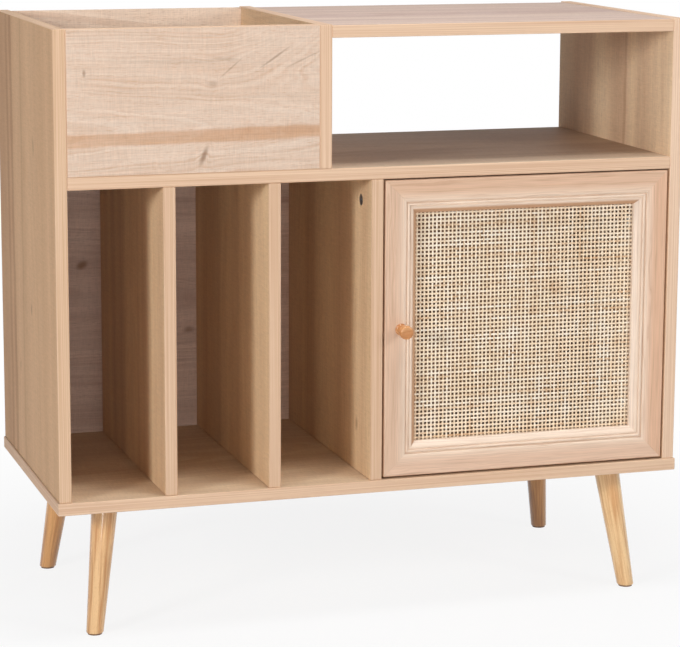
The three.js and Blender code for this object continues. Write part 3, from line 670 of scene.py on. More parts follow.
@dataclass(frozen=True)
class LacqueredBeech:
    """Turned beech under clear satin lacquer.

    Warm wood with fine streaks along the grain and short dark flecks, under a thin clear coat
    that gives a narrow highlight. Lengths are in millimetres.

    Attributes:
        name: Name of the material.
        seed: Number that shifts the grain.
        light: Lighter colour.
        dark: Darker colour.
        fleck: Colour of the flecks.
        streak: Width of a streak.
    """

    name: str
    seed: float
    light: str = "E2B47C"
    dark: str = "C88F55"
    fleck: str = "A8713F"
    streak: float = 2.6

    def material(self, centre: Vector, axis: Vector) -> bpy.types.Material:
        """Makes the material.

        Args:
            centre: A point on the piece's axis, in metres.
            axis: Direction of the grain.

        Returns:
            The material.
        """
        made = bpy.data.materials.new(self.name)
        g = Graph(made)
        turn = {"Vector": mapped(g, centre), "Rotation": axis.to_track_quat("Z", "Y").inverted().to_euler()}
        local = g.add("VectorRotate", turn, rotation_type="EULER_XYZ")
        streak = figured(g, local, (self.streak, self.streak, 85), self.seed, 3.0)
        broad = figured(g, local, (9, 9, 160), self.seed, 1.0)
        # Flecks 0.45 mm wide and 3 mm long
        fine = g.add("VectorMath", {0: local, 1: (1 / 0.45, 1 / 0.45, 1 / 3)}, operation="MULTIPLY")
        fleck = g.add("TexNoise", {"Vector": fine, "Scale": 1.0, "Detail": 0.0})
        fleck = g.add("MapRange", {"Value": fleck, "From Min": 0.62, "From Max": 0.76, "To Max": 0.22})
        tone = g.add("Math", {0: streak, 1: broad}, operation="ADD")
        tone = g.add("MapRange", {"Value": tone, "From Min": 0.84, "From Max": 1.16})
        colour = g.add("Mix", {SHARE: tone, FIRST: linear(self.light), SECOND: linear(self.dark)}, **BLEND)
        colour = g.add("Mix", {SHARE: fleck, FIRST: colour, SECOND: linear(self.fleck)}, **BLEND)
        look = {
            "Base Color": colour,
            "Roughness": 0.45,
            "IOR": 1.5,
            "Specular IOR Level": 0.3,
            "Coat Weight": 1.0,
            "Coat Roughness": 0.18,
        }
        g.add("OutputMaterial", {"Surface": g.add("BsdfPrincipled", look)})
        return made


@dataclass(frozen=True)
class Fitting:
    """Metal or plastic of a small fitting.

    Attributes:
        name: Name of the material.
        colour: Base colour.
        metallic: One for bare metal, none for coatings and plastics.
        roughness: Mean roughness.
        grit: Size of the surface's grain, in millimetres.
        relief: Height of that grain, in millimetres.
    """

    name: str
    colour: str
    metallic: float
    roughness: float
    grit: float
    relief: float

    def material(self) -> bpy.types.Material:
        """Makes the material, unless it is there.

        Returns:
            The material.
        """
        there = bpy.data.materials.get(self.name)
        if there:
            return there
        made = bpy.data.materials.new(self.name)
        g = Graph(made)
        place = mapped(g, Vector())
        grain = g.add("TexNoise", {"Vector": place, "Scale": 1 / self.grit, "Detail": 3.0})
        # Faint stains, some 8 mm across
        stain = g.add("TexNoise", {"Vector": place, "Scale": 0.12, "Detail": 2.0})
        limits = {"From Min": 0.3, "From Max": 0.7, "To Min": 0.88, "To Max": 1.08}
        gain = g.add("MapRange", {"Value": stain, **limits})
        limits = {"To Min": self.roughness - 0.08, "To Max": self.roughness + 0.08}
        look = {
            "Base Color": g.add("VectorMath", {0: linear(self.colour)[:3], "Scale": gain}, operation="SCALE"),
            "Metallic": self.metallic,
            "Roughness": g.add("MapRange", {"Value": grain, **limits}),
            "Normal": g.add("Bump", {"Strength": 0.4, "Distance": self.relief * MM, "Height": grain}),
        }
        g.add("OutputMaterial", {"Surface": g.add("BsdfPrincipled", look)})
        return made


# Bright nickel plate on steel: clear reflections, slightly warm
NICKEL = Fitting("nickel_plate", "C9C6BF", 1.0, 0.24, 0.4, 0.005)
# Die-cast zinc: grey with a soft sheen and a cast grain
ZINC = Fitting("die_cast_zinc", "A4A6A8", 1.0, 0.42, 0.5, 0.02)
# Bright zinc plate on small steel screws: clearer and bluer than the castings
ZINC_PLATE = Fitting("zinc_plated_steel", "B9BDC2", 1.0, 0.3, 0.3, 0.004)
# Powder coat on steel plate: black with orange peel
POWDER_COAT = Fitting("black_powder_coat", "232324", 0.0, 0.5, 0.8, 0.03)
# Moulded brown plastic with a fine spark-eroded grain
PLASTIC = Fitting("brown_moulded_plastic", "7C5C40", 0.0, 0.52, 0.3, 0.01)


# Building


def middle_of(node: str) -> Vector:
    """Gives the middle of a CAD node's box.

    Args:
        node: Name of the CAD node.

    Returns:
        The middle, in metres.
    """
    low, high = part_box(node)
    return (low + high) / 2


def leaning(way: Vector) -> Matrix:
    """Gives the turn that leans +Z over to a direction.

    Args:
        way: The direction.

    Returns:
        The turn.
    """
    return Vector((0, 0, 1)).rotation_difference(way).to_matrix().to_4x4()


def linked(name: str, data: bpy.types.ID) -> bpy.types.Object:
    """Makes an object in the scene.

    Args:
        name: Name of the object.
        data: Its mesh, light or camera.

    Returns:
        The object.
    """
    item = bpy.data.objects.new(name, data)
    bpy.context.scene.collection.objects.link(item)
    return item


def poured(name: str, bm: bmesh.types.BMesh) -> bpy.types.Mesh:
    """Makes a mesh of a bmesh.

    Args:
        name: Name of the mesh.
        bm: The bmesh, which is freed.

    Returns:
        The mesh.
    """
    mesh = bpy.data.meshes.new(name)
    bm.to_mesh(mesh)
    bm.free()
    return mesh


def shaded(bm: bmesh.types.BMesh, sharp_angle: float = 35.0) -> None:
    """Shades a mesh smooth between its sharp edges.

    Args:
        bm: The mesh.
        sharp_angle: Edges that turn by more than this many degrees stay sharp.
    """
    for edge in bm.edges:
        edge.smooth = edge.calc_face_angle(0.0) < math.radians(sharp_angle)
    for face in bm.faces:
        face.smooth = True


def finished(
    name: str,
    bm: bmesh.types.BMesh,
    material: bpy.types.Material,
    body: str,
    replaces: tuple[str, ...] = (),
) -> None:
    """Makes a piece of a mesh, and sets it on its body.

    Args:
        name: Name of the piece.
        bm: The mesh, which is freed.
        material: Material of the whole piece.
        body: CAD body that the piece rides on.
        replaces: CAD nodes that the piece stands for.

    Raises:
        ValueError: If the mesh has no faces.
    """
    mesh = poured(name, bm)
    if not mesh.polygons:
        raise ValueError(f"{name} has no faces")
    mesh.materials.append(material)
    piece = linked(name, mesh)
    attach(piece, body)
    if replaces:
        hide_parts(*replaces)
    LOG.info("%s: %d faces", name, len(mesh.polygons))


def dressed(node: str, material: bpy.types.Material) -> None:
    """Gives a CAD node a material.

    Args:
        node: Name of the CAD node.
        material: The material.
    """
    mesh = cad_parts[node].data
    mesh.materials.clear()
    mesh.materials.append(material)
    LOG.info("%s: CAD solid in %s", node, material.name)


def copied(
    bm: bmesh.types.BMesh, single: bmesh.types.BMesh, count: int
) -> Iterator[list[bmesh.types.BMVert]]:
    """Adds copies of one mesh to another.

    Args:
        bm: The mesh that grows.
        single: The mesh that is copied, which is freed.
        count: Number of copies.

    Yields:
        The points of each copy, before the next is added.
    """
    mesh = poured("copy", single)
    for _ in range(count):
        known = len(bm.verts)
        bm.from_mesh(mesh)
        bm.verts.ensure_lookup_table()
        yield bm.verts[known:]
    bpy.data.meshes.remove(mesh)


def turned(outline: list[tuple[float, float]], steps: int) -> bmesh.types.BMesh:
    """Turns an outline round the Z axis.

    Args:
        outline: Radius and height of each point, from pole to pole.
        steps: Faces round the form.

    Returns:
        The closed mesh.
    """
    bm = bmesh.new()
    points = [bm.verts.new((radius, 0.0, height)) for radius, height in outline]
    edges = [bm.edges.new(pair) for pair in zip(points, points[1:])]
    bmesh.ops.spin(
        bm, geom=points + edges, cent=(0, 0, 0), axis=(0, 0, 1), angle=math.tau, steps=steps, use_merge=True
    )
    bmesh.ops.remove_doubles(bm, verts=bm.verts, dist=1e-7)
    bmesh.ops.recalc_face_normals(bm, faces=bm.faces)
    return bm


def trimmed(bm: bmesh.types.BMesh, point: tuple[float, ...], way: tuple[float, ...]) -> None:
    """Cuts off what lies beyond a plane, and closes the cut.

    Args:
        bm: The mesh.
        point: A point on the plane.
        way: Direction square to the plane, towards the side that goes.
    """
    bmesh.ops.bisect_plane(
        bm, geom=bm.verts[:] + bm.edges[:] + bm.faces[:], plane_co=point, plane_no=way, clear_outer=True
    )
    origin, normal = Vector(point), Vector(way).normalized()
    on_plane = {vert for vert in bm.verts if abs((vert.co - origin).dot(normal)) < ON_PLANE}
    rim = [edge for edge in bm.edges if edge.is_boundary and on_plane.issuperset(edge.verts)]
    bmesh.ops.contextual_create(bm, geom=rim)


def carved(bm: bmesh.types.BMesh, tool: bmesh.types.BMesh) -> bmesh.types.BMesh:
    """Cuts one mesh out of another.

    Args:
        bm: The mesh that is cut, which is freed.
        tool: The mesh that is taken away, which is freed.

    Returns:
        The cut mesh.
    """
    pair = [linked(name, poured(name, part)) for name, part in (("work", bm), ("tool", tool))]
    cut = pair[0].modifiers.new("cut", "BOOLEAN")
    cut.operation, cut.solver, cut.object = "DIFFERENCE", "EXACT", pair[1]
    result = bmesh.new()
    result.from_object(pair[0], bpy.context.evaluated_depsgraph_get())
    for item in pair:
        mesh = item.data
        bpy.data.objects.remove(item)
        bpy.data.meshes.remove(mesh)
    return result


def arc(
    centre: tuple[float, float], radii: tuple[float, float], start: float, end: float, steps: int
) -> list[tuple[float, float]]:
    """Gives points on an elliptic arc.

    Args:
        centre: Centre of the arc.
        radii: Half axes.
        start: First angle in degrees.
        end: Last angle in degrees.
        steps: Number of steps.

    Returns:
        The points, both ends included.
    """
    angles = [math.radians(start + (end - start) * i / steps) for i in range(steps + 1)]
    return [(centre[0] + radii[0] * math.cos(a), centre[1] + radii[1] * math.sin(a)) for a in angles]


# Sub-assemblies


@dataclass
class Carcase:
    """The boards, their backs and the cam locks that draw them together."""

    raw_back: str = "A9835F"

    def dress(self) -> None:
        """Gives every board its own cut of the print, and the cam locks their zinc."""
        for node, finish in self.prints().items():
            dressed(node, finish.material(middle_of(node)))
        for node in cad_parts:
            if node.startswith("cam_"):
                dressed(node, ZINC.material())

    def prints(self) -> dict[str, OakPrint]:
        """Matches the print of each board.

        Returns:
            Finish of each CAD node.
        """
        side = {"grain": Axis.Z, "face": Axis.X, "rings": 0.3, "band_width": 46.0}
        divider = {
            "light": "F1D3AA",
            "dark": "DAB084",
            "shade": "BA9070",
            "edge_light": "E2C2A3",
            "edge_dark": "D0A988",
            "bands": 0.45,
            **side,
        }
        lying = {"grain": Axis.X, "face": Axis.Z}
        standing = {"grain": Axis.X, "face": Axis.Y}
        return {
            "side_panel_left": OakPrint(
                "oak_print_left_side",
                seed=3.1,
                light="DAB38A",
                dark="C79C74",
                shade="A2744F",
                edge_light="E3C2A2",
                edge_dark="CFA985",
                bands=0.25,
                knots=(
                    Knot(140, -55, 9, 5, 20, 0.3),
                    Knot(-79, -25, 6, 3.5, 0, 0.5),
                    Knot(-170, 60, 7, 4, 0, 0.25),
                ),
                streaks=(
                    Band(205, 0.0, 150, 0.5),
                    Band(127, 0.01, 9, 0.5),
                    Band(97, 0.015, 11, 0.65),
                    Band(30, -0.01, 7, 0.25),
                ),
                **side,
            ),
            "side_panel_right": OakPrint(
                "oak_print_right_side",
                seed=8.4,
                light="F8DDB8",
                dark="E6BE93",
                shade="BD9273",
                edge_light="EFD2B6",
                edge_dark="DDB99A",
                bands=0.5,
                streaks=(Band(-42, 0.0, 5, 0.5),),
                **side,
            ),
            "door_divider": OakPrint(
                "oak_print_door_divider", seed=12.7, knots=(Knot(-135, -130, 7, 4, 0, 0.5),), **divider
            ),
            "slot_divider_1": OakPrint("oak_print_slot_divider_1", seed=17.2, **divider),
            "slot_divider_2": OakPrint("oak_print_slot_divider_2", seed=21.9, **divider),
            "bin_divider": OakPrint(
                "oak_print_bin_divider", grain=Axis.Y, face=Axis.X, seed=27.3, light="F4D6AE", dark="E1BA90"
            ),
            "bin_front_panel": OakPrint(
                "oak_print_bin_front",
                seed=31.6,
                light="E0CAB6",
                dark="CAA486",
                shade="C4936A",
                rings=0.62,
                bands=0.12,
                heart=-40.0,
                cut_depth=46.0,
                taper=0.06,
                ring_width=3.4,
                knots=(
                    Knot(-141, 37, 1.6, 3.6, 0, 0.55),
                    Knot(23, 20, 5, 3.5, 0, 0.3),
                    Knot(47, 40, 14, 0.9, 40, 0.35),
                    Knot(104, 52, 17, 1.1, 34, 0.5),
                    Knot(144, 50, 20, 0.9, 24, 0.3),
                    Knot(11, -70, 9.5, 2.6, 68, 0.7),
                    Knot(-20, 49, 60, 2.2, -1, 0.16),
                    Knot(40, 51, 13, 2.4, -4, 0.25),
                ),
                streaks=(Band(-45, 0.012, 11, 0.68),),
                sweep=Sweep(20, 0.0035, -15, 45),
                **standing,
            ),
            "bottom_board": OakPrint("oak_print_bottom", seed=36.8, **lying),
            "mid_shelf": OakPrint(
                "oak_print_shelf", seed=41.5, light="C9B299", dark="B4957A", shade="9C7C68", **lying
            ),
            "top_board": OakPrint(
                "oak_print_top",
                seed=46.1,
                light="DDC6B6",
                dark="BD9D88",
                shade="B3928A",
                rings=0.6,
                bands=0.6,
                **lying,
            ),
            "lower_back_panel": OakPrint(
                "oak_print_lower_back",
                seed=51.7,
                light="E4CBBB",
                dark="BF9D8C",
                shade="A18376",
                rings=0.6,
                knots=(Knot(-314, 40, 7, 4.5, 25, 0.8), Knot(-160, -60, 6, 4, 0, 0.5)),
                # The drift paints shade on the part of the back that lies behind the door
                drift="DFC09F",
                reverse=self.raw_back,
                **standing,
            ),
            "bin_back_panel": OakPrint(
                "oak_print_bin_back",
                seed=57.4,
                light="F2DDC8",
                dark="D9B89C",
                reverse=self.raw_back,
                **standing,
            ),
        }


# The four tones paint the shade that each leg lies in: the rear legs are darker, the rear right one darkest
LEG_TONES_WITH_PAINTED_SHADE = {
    "front_left": ("F0C48C", "CB935A"),
    "front_right": ("FAD39B", "DAA368"),
    "rear_left": ("EDB16E", "C88A4E"),
    "rear_right": ("C79052", "A46E3A"),
}


@dataclass
class Legs:
    """Four splayed turned legs with their plates and glides. Lengths are in millimetres."""

    height: float = 170.0
    top_radius: float = 17.5
    foot_radius: float = 11.2
    foot_round: float = 1.2
    spare: float = 12.0
    top_level: float = 167.3
    bottom_level: float = 2.1
    splay_side: float = 7.4
    splay_end: float = 9.6
    steps: int = 64
    first_seed: float = 2.0
    seed_step: float = 3.7

    def build(self) -> None:
        """Builds the legs, and dresses their plates and glides."""
        for number, place in enumerate(CORNERS):
            self.leg(place, number)
            dressed(f"leg_plate_{place}", POWDER_COAT.material())
            dressed(f"leg_glide_{place}", PLASTIC.material())

    def leg(self, place: str, number: int) -> None:
        """Builds one leg: a tapered turning, cut level at both ends.

        Args:
            place: Which leg, such as front_left.
            number: Number that shifts its grain.
        """
        low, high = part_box(f"leg_glide_{place}")
        side = -1 if "left" in place else 1
        end = -1 if "front" in place else 1
        inward, along = (math.tan(math.radians(splay)) for splay in (self.splay_side, self.splay_end))
        slope = Vector((-side * inward, -end * along, 1.0))
        glide = (low + high) / 2
        glide.z = high.z
        foot = glide - slope * glide.z
        axis = slope.normalized()
        length = slope.length * self.height * MM
        growth = (self.top_radius - self.foot_radius) * MM / length
        # The turning is longer than the leg by the spare at both ends, which the level cuts take off
        spare = self.spare * MM
        outline = [
            (0.0, -spare),
            (self.foot_radius * MM - spare * growth, -spare),
            (self.top_radius * MM + spare * growth, length + spare),
            (0.0, length + spare),
        ]
        bm = turned(outline, self.steps)
        bmesh.ops.transform(bm, matrix=Matrix.Translation(foot) @ leaning(axis), verts=bm.verts)
        floor = self.bottom_level * MM
        trimmed(bm, (0, 0, floor), (0, 0, -1))
        trimmed(bm, (0, 0, self.top_level * MM), (0, 0, 1))
        rim = [edge for edge in bm.edges if all(abs(vert.co.z - floor) < ON_PLANE for vert in edge.verts)]
        bmesh.ops.bevel(
            bm,
            geom=rim,
            offset=self.foot_round * MM,
            segments=3,
            profile=0.5,
            affect="EDGES",
            material=-1,
        )
        bmesh.ops.recalc_face_normals(bm, faces=bm.faces)
        shaded(bm)
        seed = self.first_seed + self.seed_step * number
        finish = LacqueredBeech(f"lacquered_beech_leg_{place}", seed, *LEG_TONES_WITH_PAINTED_SHADE[place])
        finished(f"turned_leg_{place}", bm, finish.material(foot, axis), CABINET, (f"leg_{place}",))


# Each length of the moulding: seed of its print, tone of its outer flat and tone of its lip
# The lip tones are painted shade on the top rail and left stile, and painted light on the other two
DOOR_TONES_WITH_PAINTED_LIP_SHADING = {
    "door_rail_bottom": (4.2, "E5C3A8", "F3DFCB"),
    "door_rail_top": (9.1, "DCB799", "C99D79"),
    "door_stile_left": (13.6, "DEBCA0", "C99D79"),
    "door_stile_right": (18.3, "E2B898", "F3DFCB"),
}


@dataclass
class DoorFrame:
    """Four mitred lengths of moulding. The section is in millimetres, inwards from the outer edge."""

    thickness: float = 18.0
    width: float = 44.5
    mitre_gap: float = 0.1
    rear_chamfer: float = 0.6
    arris_radius: float = 1.6
    flat_width: float = 25.0
    flat_fall: float = 1.3
    flat_parts: int = 6
    quirk_start: float = 29.3
    quirk_lean: float = 0.05
    quirk_depth: float = 2.8
    bead_start: float = 30.5
    bead_radius: float = 2.0
    bead_height: float = 2.3
    inner_quirk: float = 35.0
    roll_lead: float = 0.4
    roll_foot: float = 0.7
    roll_height: float = 0.8
    roll_width: float = 2.2
    roll_radius: float = 1.4
    roll_end: float = 38.8
    hollow: float = 1.15
    lip_level: float = 9.6
    lip_fall: float = 0.5
    rebate_width: float = 6.0
    rebate_depth: float = 5.0
    bore_radius: float = 17.4
    bore_depth: float = 12.6
    bore_steps: int = 64
    steps: int = 8

    def section(self) -> list[tuple[float, float]]:
        """Draws the section: x inwards from the outer edge, y forwards from the rear face.

        Returns:
            Points of the closed outline, from the rear outer corner over the front.
        """
        face, arris, steps = self.thickness, self.arris_radius, self.steps
        points = [(0.0, self.rear_chamfer), (0.0, face - arris)]
        # The outer flat, from its arris to its rounded fall into the quirk
        points += arc((arris, face - arris), (arris, arris), 180, 90, steps)[1:]
        flat = self.flat_width - arris
        points += [(arris + flat * i / self.flat_parts, face) for i in range(1, self.flat_parts)]
        fall = (self.quirk_start - self.flat_width, self.flat_fall)
        points += arc((self.flat_width, face - self.flat_fall), fall, 90, 0, steps)
        # The bead between its two quirks
        floor = face - self.quirk_depth
        points += [(self.quirk_start + self.quirk_lean, floor), (self.bead_start, floor)]
        bead = (self.bead_radius, self.bead_height)
        points += arc((self.bead_start + self.bead_radius, floor), bead, 180, 0, steps)[1:]
        points += [(self.inner_quirk, floor), (self.inner_quirk + self.roll_lead, floor + self.roll_foot)]
        # The roll
        start = self.roll_end - self.roll_width
        crown = floor + self.roll_height
        points += [(start, crown)]
        roll = (self.roll_width, self.roll_radius)
        points += arc((start, crown - self.roll_radius), roll, 90, 20, steps // 2)[1:]
        # The hollow chamfer down to the lip
        edge, level = points[-1]
        drop = level - self.lip_level
        for i in range(1, steps + 1):
            part = i / steps
            points.append((edge + (self.width - edge) * part, level - drop * part**self.hollow))
        points += [(self.width, self.lip_level - self.lip_fall), (self.width, self.rebate_depth)]
        inner = self.width - self.rebate_width
        points += [(inner, self.rebate_depth), (inner, 0.0), (self.rear_chamfer, 0.0)]
        return points

    def build(self) -> None:
        """Builds the two rails and the two stiles."""
        low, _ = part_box("door_rail_bottom")
        _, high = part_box("door_rail_top")
        middle = (low + high) / 2
        rear = high.y
        outer = self.mitre_gap * MM / 2
        sides = {
            "door_rail_bottom": (0.0, middle.x, low.z, high.x - low.x),
            "door_rail_top": (math.pi, middle.x, high.z, high.x - low.x),
            "door_stile_left": (math.pi / 2, low.x - outer, middle.z, high.z - low.z),
            "door_stile_right": (-math.pi / 2, high.x + outer, middle.z, high.z - low.z),
        }
        for node, (turn, x, z, length) in sides.items():
            bm = self.mitred(length)
            place = Matrix.Translation((x, rear, z)) @ Matrix.Rotation(turn, 4, "Y")
            bmesh.ops.transform(bm, matrix=place, verts=bm.verts)
            if node == "door_stile_right":
                bm = self.bored(bm, rear)
            shaded(bm)
            finish = OakFoil(f"oak_foil_{node}", *DOOR_TONES_WITH_PAINTED_LIP_SHADING[node])
            finished(f"moulded_{node}", bm, finish.material(), DOOR, (node,))

    def bored(self, bm: bmesh.types.BMesh, rear: float) -> bmesh.types.BMesh:
        """Bores the seats of the hinge cups into a stile.

        Args:
            bm: Mesh of the stile, which is freed.
            rear: Level of its rear face.

        Returns:
            The bored mesh.
        """
        tool = bmesh.new()
        for level in HINGES:
            centre = middle_of(f"hinge_pin_{level}")
            centre.y = rear
            bmesh.ops.create_cone(
                tool,
                cap_ends=True,
                segments=self.bore_steps,
                radius1=self.bore_radius * MM,
                radius2=self.bore_radius * MM,
                depth=self.bore_depth * MM * 2,
                matrix=Matrix.Translation(centre) @ Matrix.Rotation(math.pi / 2, 4, "X"),
            )
        return carved(bm, tool)

    def mitred(self, length: float) -> bmesh.types.BMesh:
        """Makes one mitred length, its outer edge along X at Z zero and its front towards -Y.

        Args:
            length: Length of the outer edge, in metres.

        Returns:
            The mesh, with the attributes of the foil.
        """
        bm = bmesh.new()
        across = bm.verts.layers.float.new("foil_across")
        along = bm.verts.layers.float.new("foil_along")
        half = length / 2 + self.width * MM
        outline = self.section()
        run = 0.0
        points = []
        for i, (inward, forward) in enumerate(outline):
            run += math.dist(outline[i - 1], (inward, forward)) if i else 0.0
            point = bm.verts.new((-half, -forward * MM, inward * MM))
            point[across] = run
            points.append(point)
        edges = [bm.edges.new((points[i - 1], points[i])) for i in range(len(points))]
        made = bmesh.ops.extrude_edge_only(bm, edges=edges)["geom"]
        ends = [item for item in made if isinstance(item, bmesh.types.BMVert)]
        bmesh.ops.translate(bm, vec=(half * 2, 0, 0), verts=ends)
        reach = length / 2 - self.mitre_gap * MM / 2
        for side in (-1, 1):
            trimmed(bm, (side * reach, 0, 0), (side, 0, 1))
        bmesh.ops.recalc_face_normals(bm, faces=bm.faces)
        for point in bm.verts:
            point[along] = point.co.x / MM
        return bm


# Section of a strand in half widths and half thicknesses: rounded skin in front, flat back
STRAND_SECTION = ((-1, 0.1), (-0.72, -0.75), (0, -1), (0.72, -0.75), (1, 0.1), (0.6, 0.9), (-0.6, 0.9))


@dataclass
class CaneWebbing:
    """Plain weave of flat cane strands. Lengths are in millimetres, waves in radians per metre."""

    columns: int = 57
    rows: int = 58
    pitch_across: float = 5.484
    pitch_up: float = 5.345
    strand_width: float = 2.42
    strand_thickness: float = 0.46
    girth_spread: float = 0.05
    lift: float = 0.235
    margin: float = 2.6
    wander: float = 0.06
    long_wave: float = 31.0
    short_wave: float = 83.0
    steps: int = 4
    strip_seed: float = 61.0

    def build(self) -> None:
        """Builds the upright strands and the lying ones, and dresses the strips behind them."""
        centre = middle_of("cane_panel")
        pitch_x, pitch_z = self.pitch_across, self.pitch_up
        upright = Cane("cane_upright_strands", Axis.Z, Axis.X, pitch_x)
        lying = Cane("cane_lying_strands", Axis.X, Axis.Z, pitch_z, body="F7DFBF")
        place = Matrix.Translation(centre)
        bm = self.strands(self.columns + 1, pitch_x, self.rows, pitch_z, 0)
        bmesh.ops.transform(bm, matrix=place, verts=bm.verts)
        finished("cane_upright", bm, upright.material(centre), DOOR, ("cane_panel",))
        bm = self.strands(self.rows + 1, pitch_z, self.columns, pitch_x, 1)
        swap = Matrix(((0, 0, 1, 0), (0, 1, 0, 0), (1, 0, 0, 0), (0, 0, 0, 1)))
        bmesh.ops.transform(bm, matrix=place @ swap, verts=bm.verts)
        bmesh.ops.reverse_faces(bm, faces=bm.faces)
        finished("cane_lying", bm, lying.material(centre), DOOR)
        for side in ("bottom", "top", "left", "right"):
            grain = Axis.X if side in ("bottom", "top") else Axis.Z
            finish = OakPrint(f"oak_print_strip_{side}", grain, Axis.Y, self.strip_seed + len(side))
            dressed(f"cane_strip_{side}", finish.material(middle_of(f"cane_strip_{side}")))

    def strand(self, crossings: int, crossing_pitch: float) -> bmesh.types.BMesh:
        """Makes one straight strand along Z.

        Args:
            crossings: Number of gaps between the strands that it crosses.
            crossing_pitch: Distance between those strands.

        Returns:
            The mesh, in metres, with rings enough to bend it over each crossing.
        """
        wide, thick = self.strand_width * MM / 2, self.strand_thickness * MM / 2
        half = (crossings * crossing_pitch / 2 + self.margin) * MM
        total = round(2 * half / (crossing_pitch * MM) * self.steps)
        bm = bmesh.new()
        ring = [bm.verts.new((x * wide, y * thick, -half)) for x, y in STRAND_SECTION]
        edges = [bm.edges.new((ring[i - 1], ring[i])) for i in range(len(ring))]
        first = edges
        for _ in range(total):
            made = bmesh.ops.extrude_edge_only(bm, edges=edges)["geom"]
            ends = [item for item in made if isinstance(item, bmesh.types.BMVert)]
            edges = [item for item in made if isinstance(item, bmesh.types.BMEdge)]
            edges = [edge for edge in edges if set(ends).issuperset(edge.verts)]
            bmesh.ops.translate(bm, vec=(0, 0, 2 * half / total), verts=ends)
        for rim in (first, edges):
            bmesh.ops.contextual_create(bm, geom=rim)
        bmesh.ops.recalc_face_normals(bm, faces=bm.faces)
        return bm

    def strands(
        self, count: int, pitch: float, crossings: int, crossing_pitch: float, phase: int
    ) -> bmesh.types.BMesh:
        """Weaves one set of strands, which run along Z and are counted along X.

        Args:
            count: Number of strands.
            pitch: Distance from strand to strand.
            crossings: Number of gaps between the strands that they cross.
            crossing_pitch: Distance between those strands.
            phase: Which set lies in front at the first crossing.

        Returns:
            The mesh of all strands, round the origin, in metres.
        """
        bm = bmesh.new()
        start = -(crossings * crossing_pitch / 2) * MM
        for number, points in enumerate(copied(bm, self.strand(crossings, crossing_pitch), count)):
            turn = math.pi * (number + phase)
            middle = (number - (count - 1) / 2) * pitch * MM
            # Each strand has its own girth, and wanders aside in its own way
            girth = 1 + self.girth_spread * math.sin(number * 4.1 + 1.3)
            own = math.sin(number * 12.9898) * 0.5
            for point in points:
                z = point.co.z
                crossing = (z - start) / (crossing_pitch * MM)
                drift = math.sin(z * self.long_wave + number * 2.4)
                drift += 0.6 * math.sin(z * self.short_wave + number * 5.1) + own
                point.co.x = point.co.x * girth + middle + drift * self.wander * MM
                point.co.y -= self.lift * MM * math.cos(math.pi * crossing + turn)
        shaded(bm, 60.0)
        return bm


@dataclass
class Knob:
    """The turned knob, its foot on the stile. Lengths are in millimetres."""

    reach: float = 25.0
    seat_gap: float = 0.1
    base_radius: float = 8.0
    base_height: float = 2.2
    base_arris: float = 0.3
    base_fall: float = 0.7
    base_step: float = 0.35
    neck_radius: float = 5.2
    head_radius: float = 9.2
    head_height: float = 8.0
    shoulder_width: float = 0.6
    shoulder_height: float = 1.2
    shoulder_rise: float = 1.6
    rim_radius: float = 2.4
    dish_radius: float = 5.6
    dish_depth: float = 0.7
    steps: int = 72
    arc_steps: int = 10

    def build(self) -> None:
        """Builds the knob and dresses its screw."""
        place = middle_of("door_knob")
        front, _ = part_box("door_stile_left")
        place.y = front.y - self.seat_gap * MM
        bm = turned([(radius * MM, height * MM) for radius, height in self.outline()], self.steps)
        turn = Matrix.Rotation(math.pi / 2, 4, "X")
        bmesh.ops.transform(bm, matrix=Matrix.Translation(place) @ turn, verts=bm.verts)
        shaded(bm, 40.0)
        finish = LacqueredBeech("lacquered_beech_knob", 23.0, light="DA9C60", dark="BF7C40", streak=1.6)
        grain = Vector((1, 0, 0.15))
        finished("turned_knob", bm, finish.material(place, grain), DOOR, ("door_knob",))
        dressed("knob_screw", ZINC.material())

    def outline(self) -> list[tuple[float, float]]:
        """Draws half the section, from the foot on the stile to the middle of the dish.

        Returns:
            Radius and height of each point.
        """
        base, head, steps = self.base_radius, self.head_radius, self.arc_steps
        back = self.reach - self.head_height
        foot = base - self.base_step
        points = [(0.0, 0.0), (base - self.base_arris, 0.0), (base, self.base_arris)]
        points += [(base, self.base_height - self.base_fall), (foot, self.base_height)]
        # The neck, in and out again
        lower = (foot - self.neck_radius, back / 2 - self.base_height)
        points += arc((foot, back / 2), lower, 270, 180, steps)[1:]
        points += arc((head, back / 2), (head - self.neck_radius, back / 2), 180, 100, steps)[1:]
        # The head, over its shoulder and its rim into the dish
        shoulder = (self.shoulder_width, self.shoulder_height)
        points += arc((head - self.shoulder_width, back + self.shoulder_rise), shoulder, -60, 0, steps // 2)
        rim = self.rim_radius
        points += arc((head - rim, self.reach - rim), (rim, rim), 0, 90, steps)
        for radius, depth in ((1.0, 0.0), (0.7, 0.45), (0.35, 0.9), (0.0, 1.0)):
            points.append((self.dish_radius * radius, self.reach - self.dish_depth * depth))
        return points


@dataclass
class Fittings:
    """Hinges and catch."""

    def dress(self) -> None:
        """Gives the hinges and the catch their metals and plastics."""
        for level in HINGES:
            for part in ("cup", "pin", "arm", "plate"):
                dressed(f"hinge_{part}_{level}", NICKEL.material())
        dressed("catch_strike", ZINC.material())
        dressed("catch_case", PLASTIC.material())


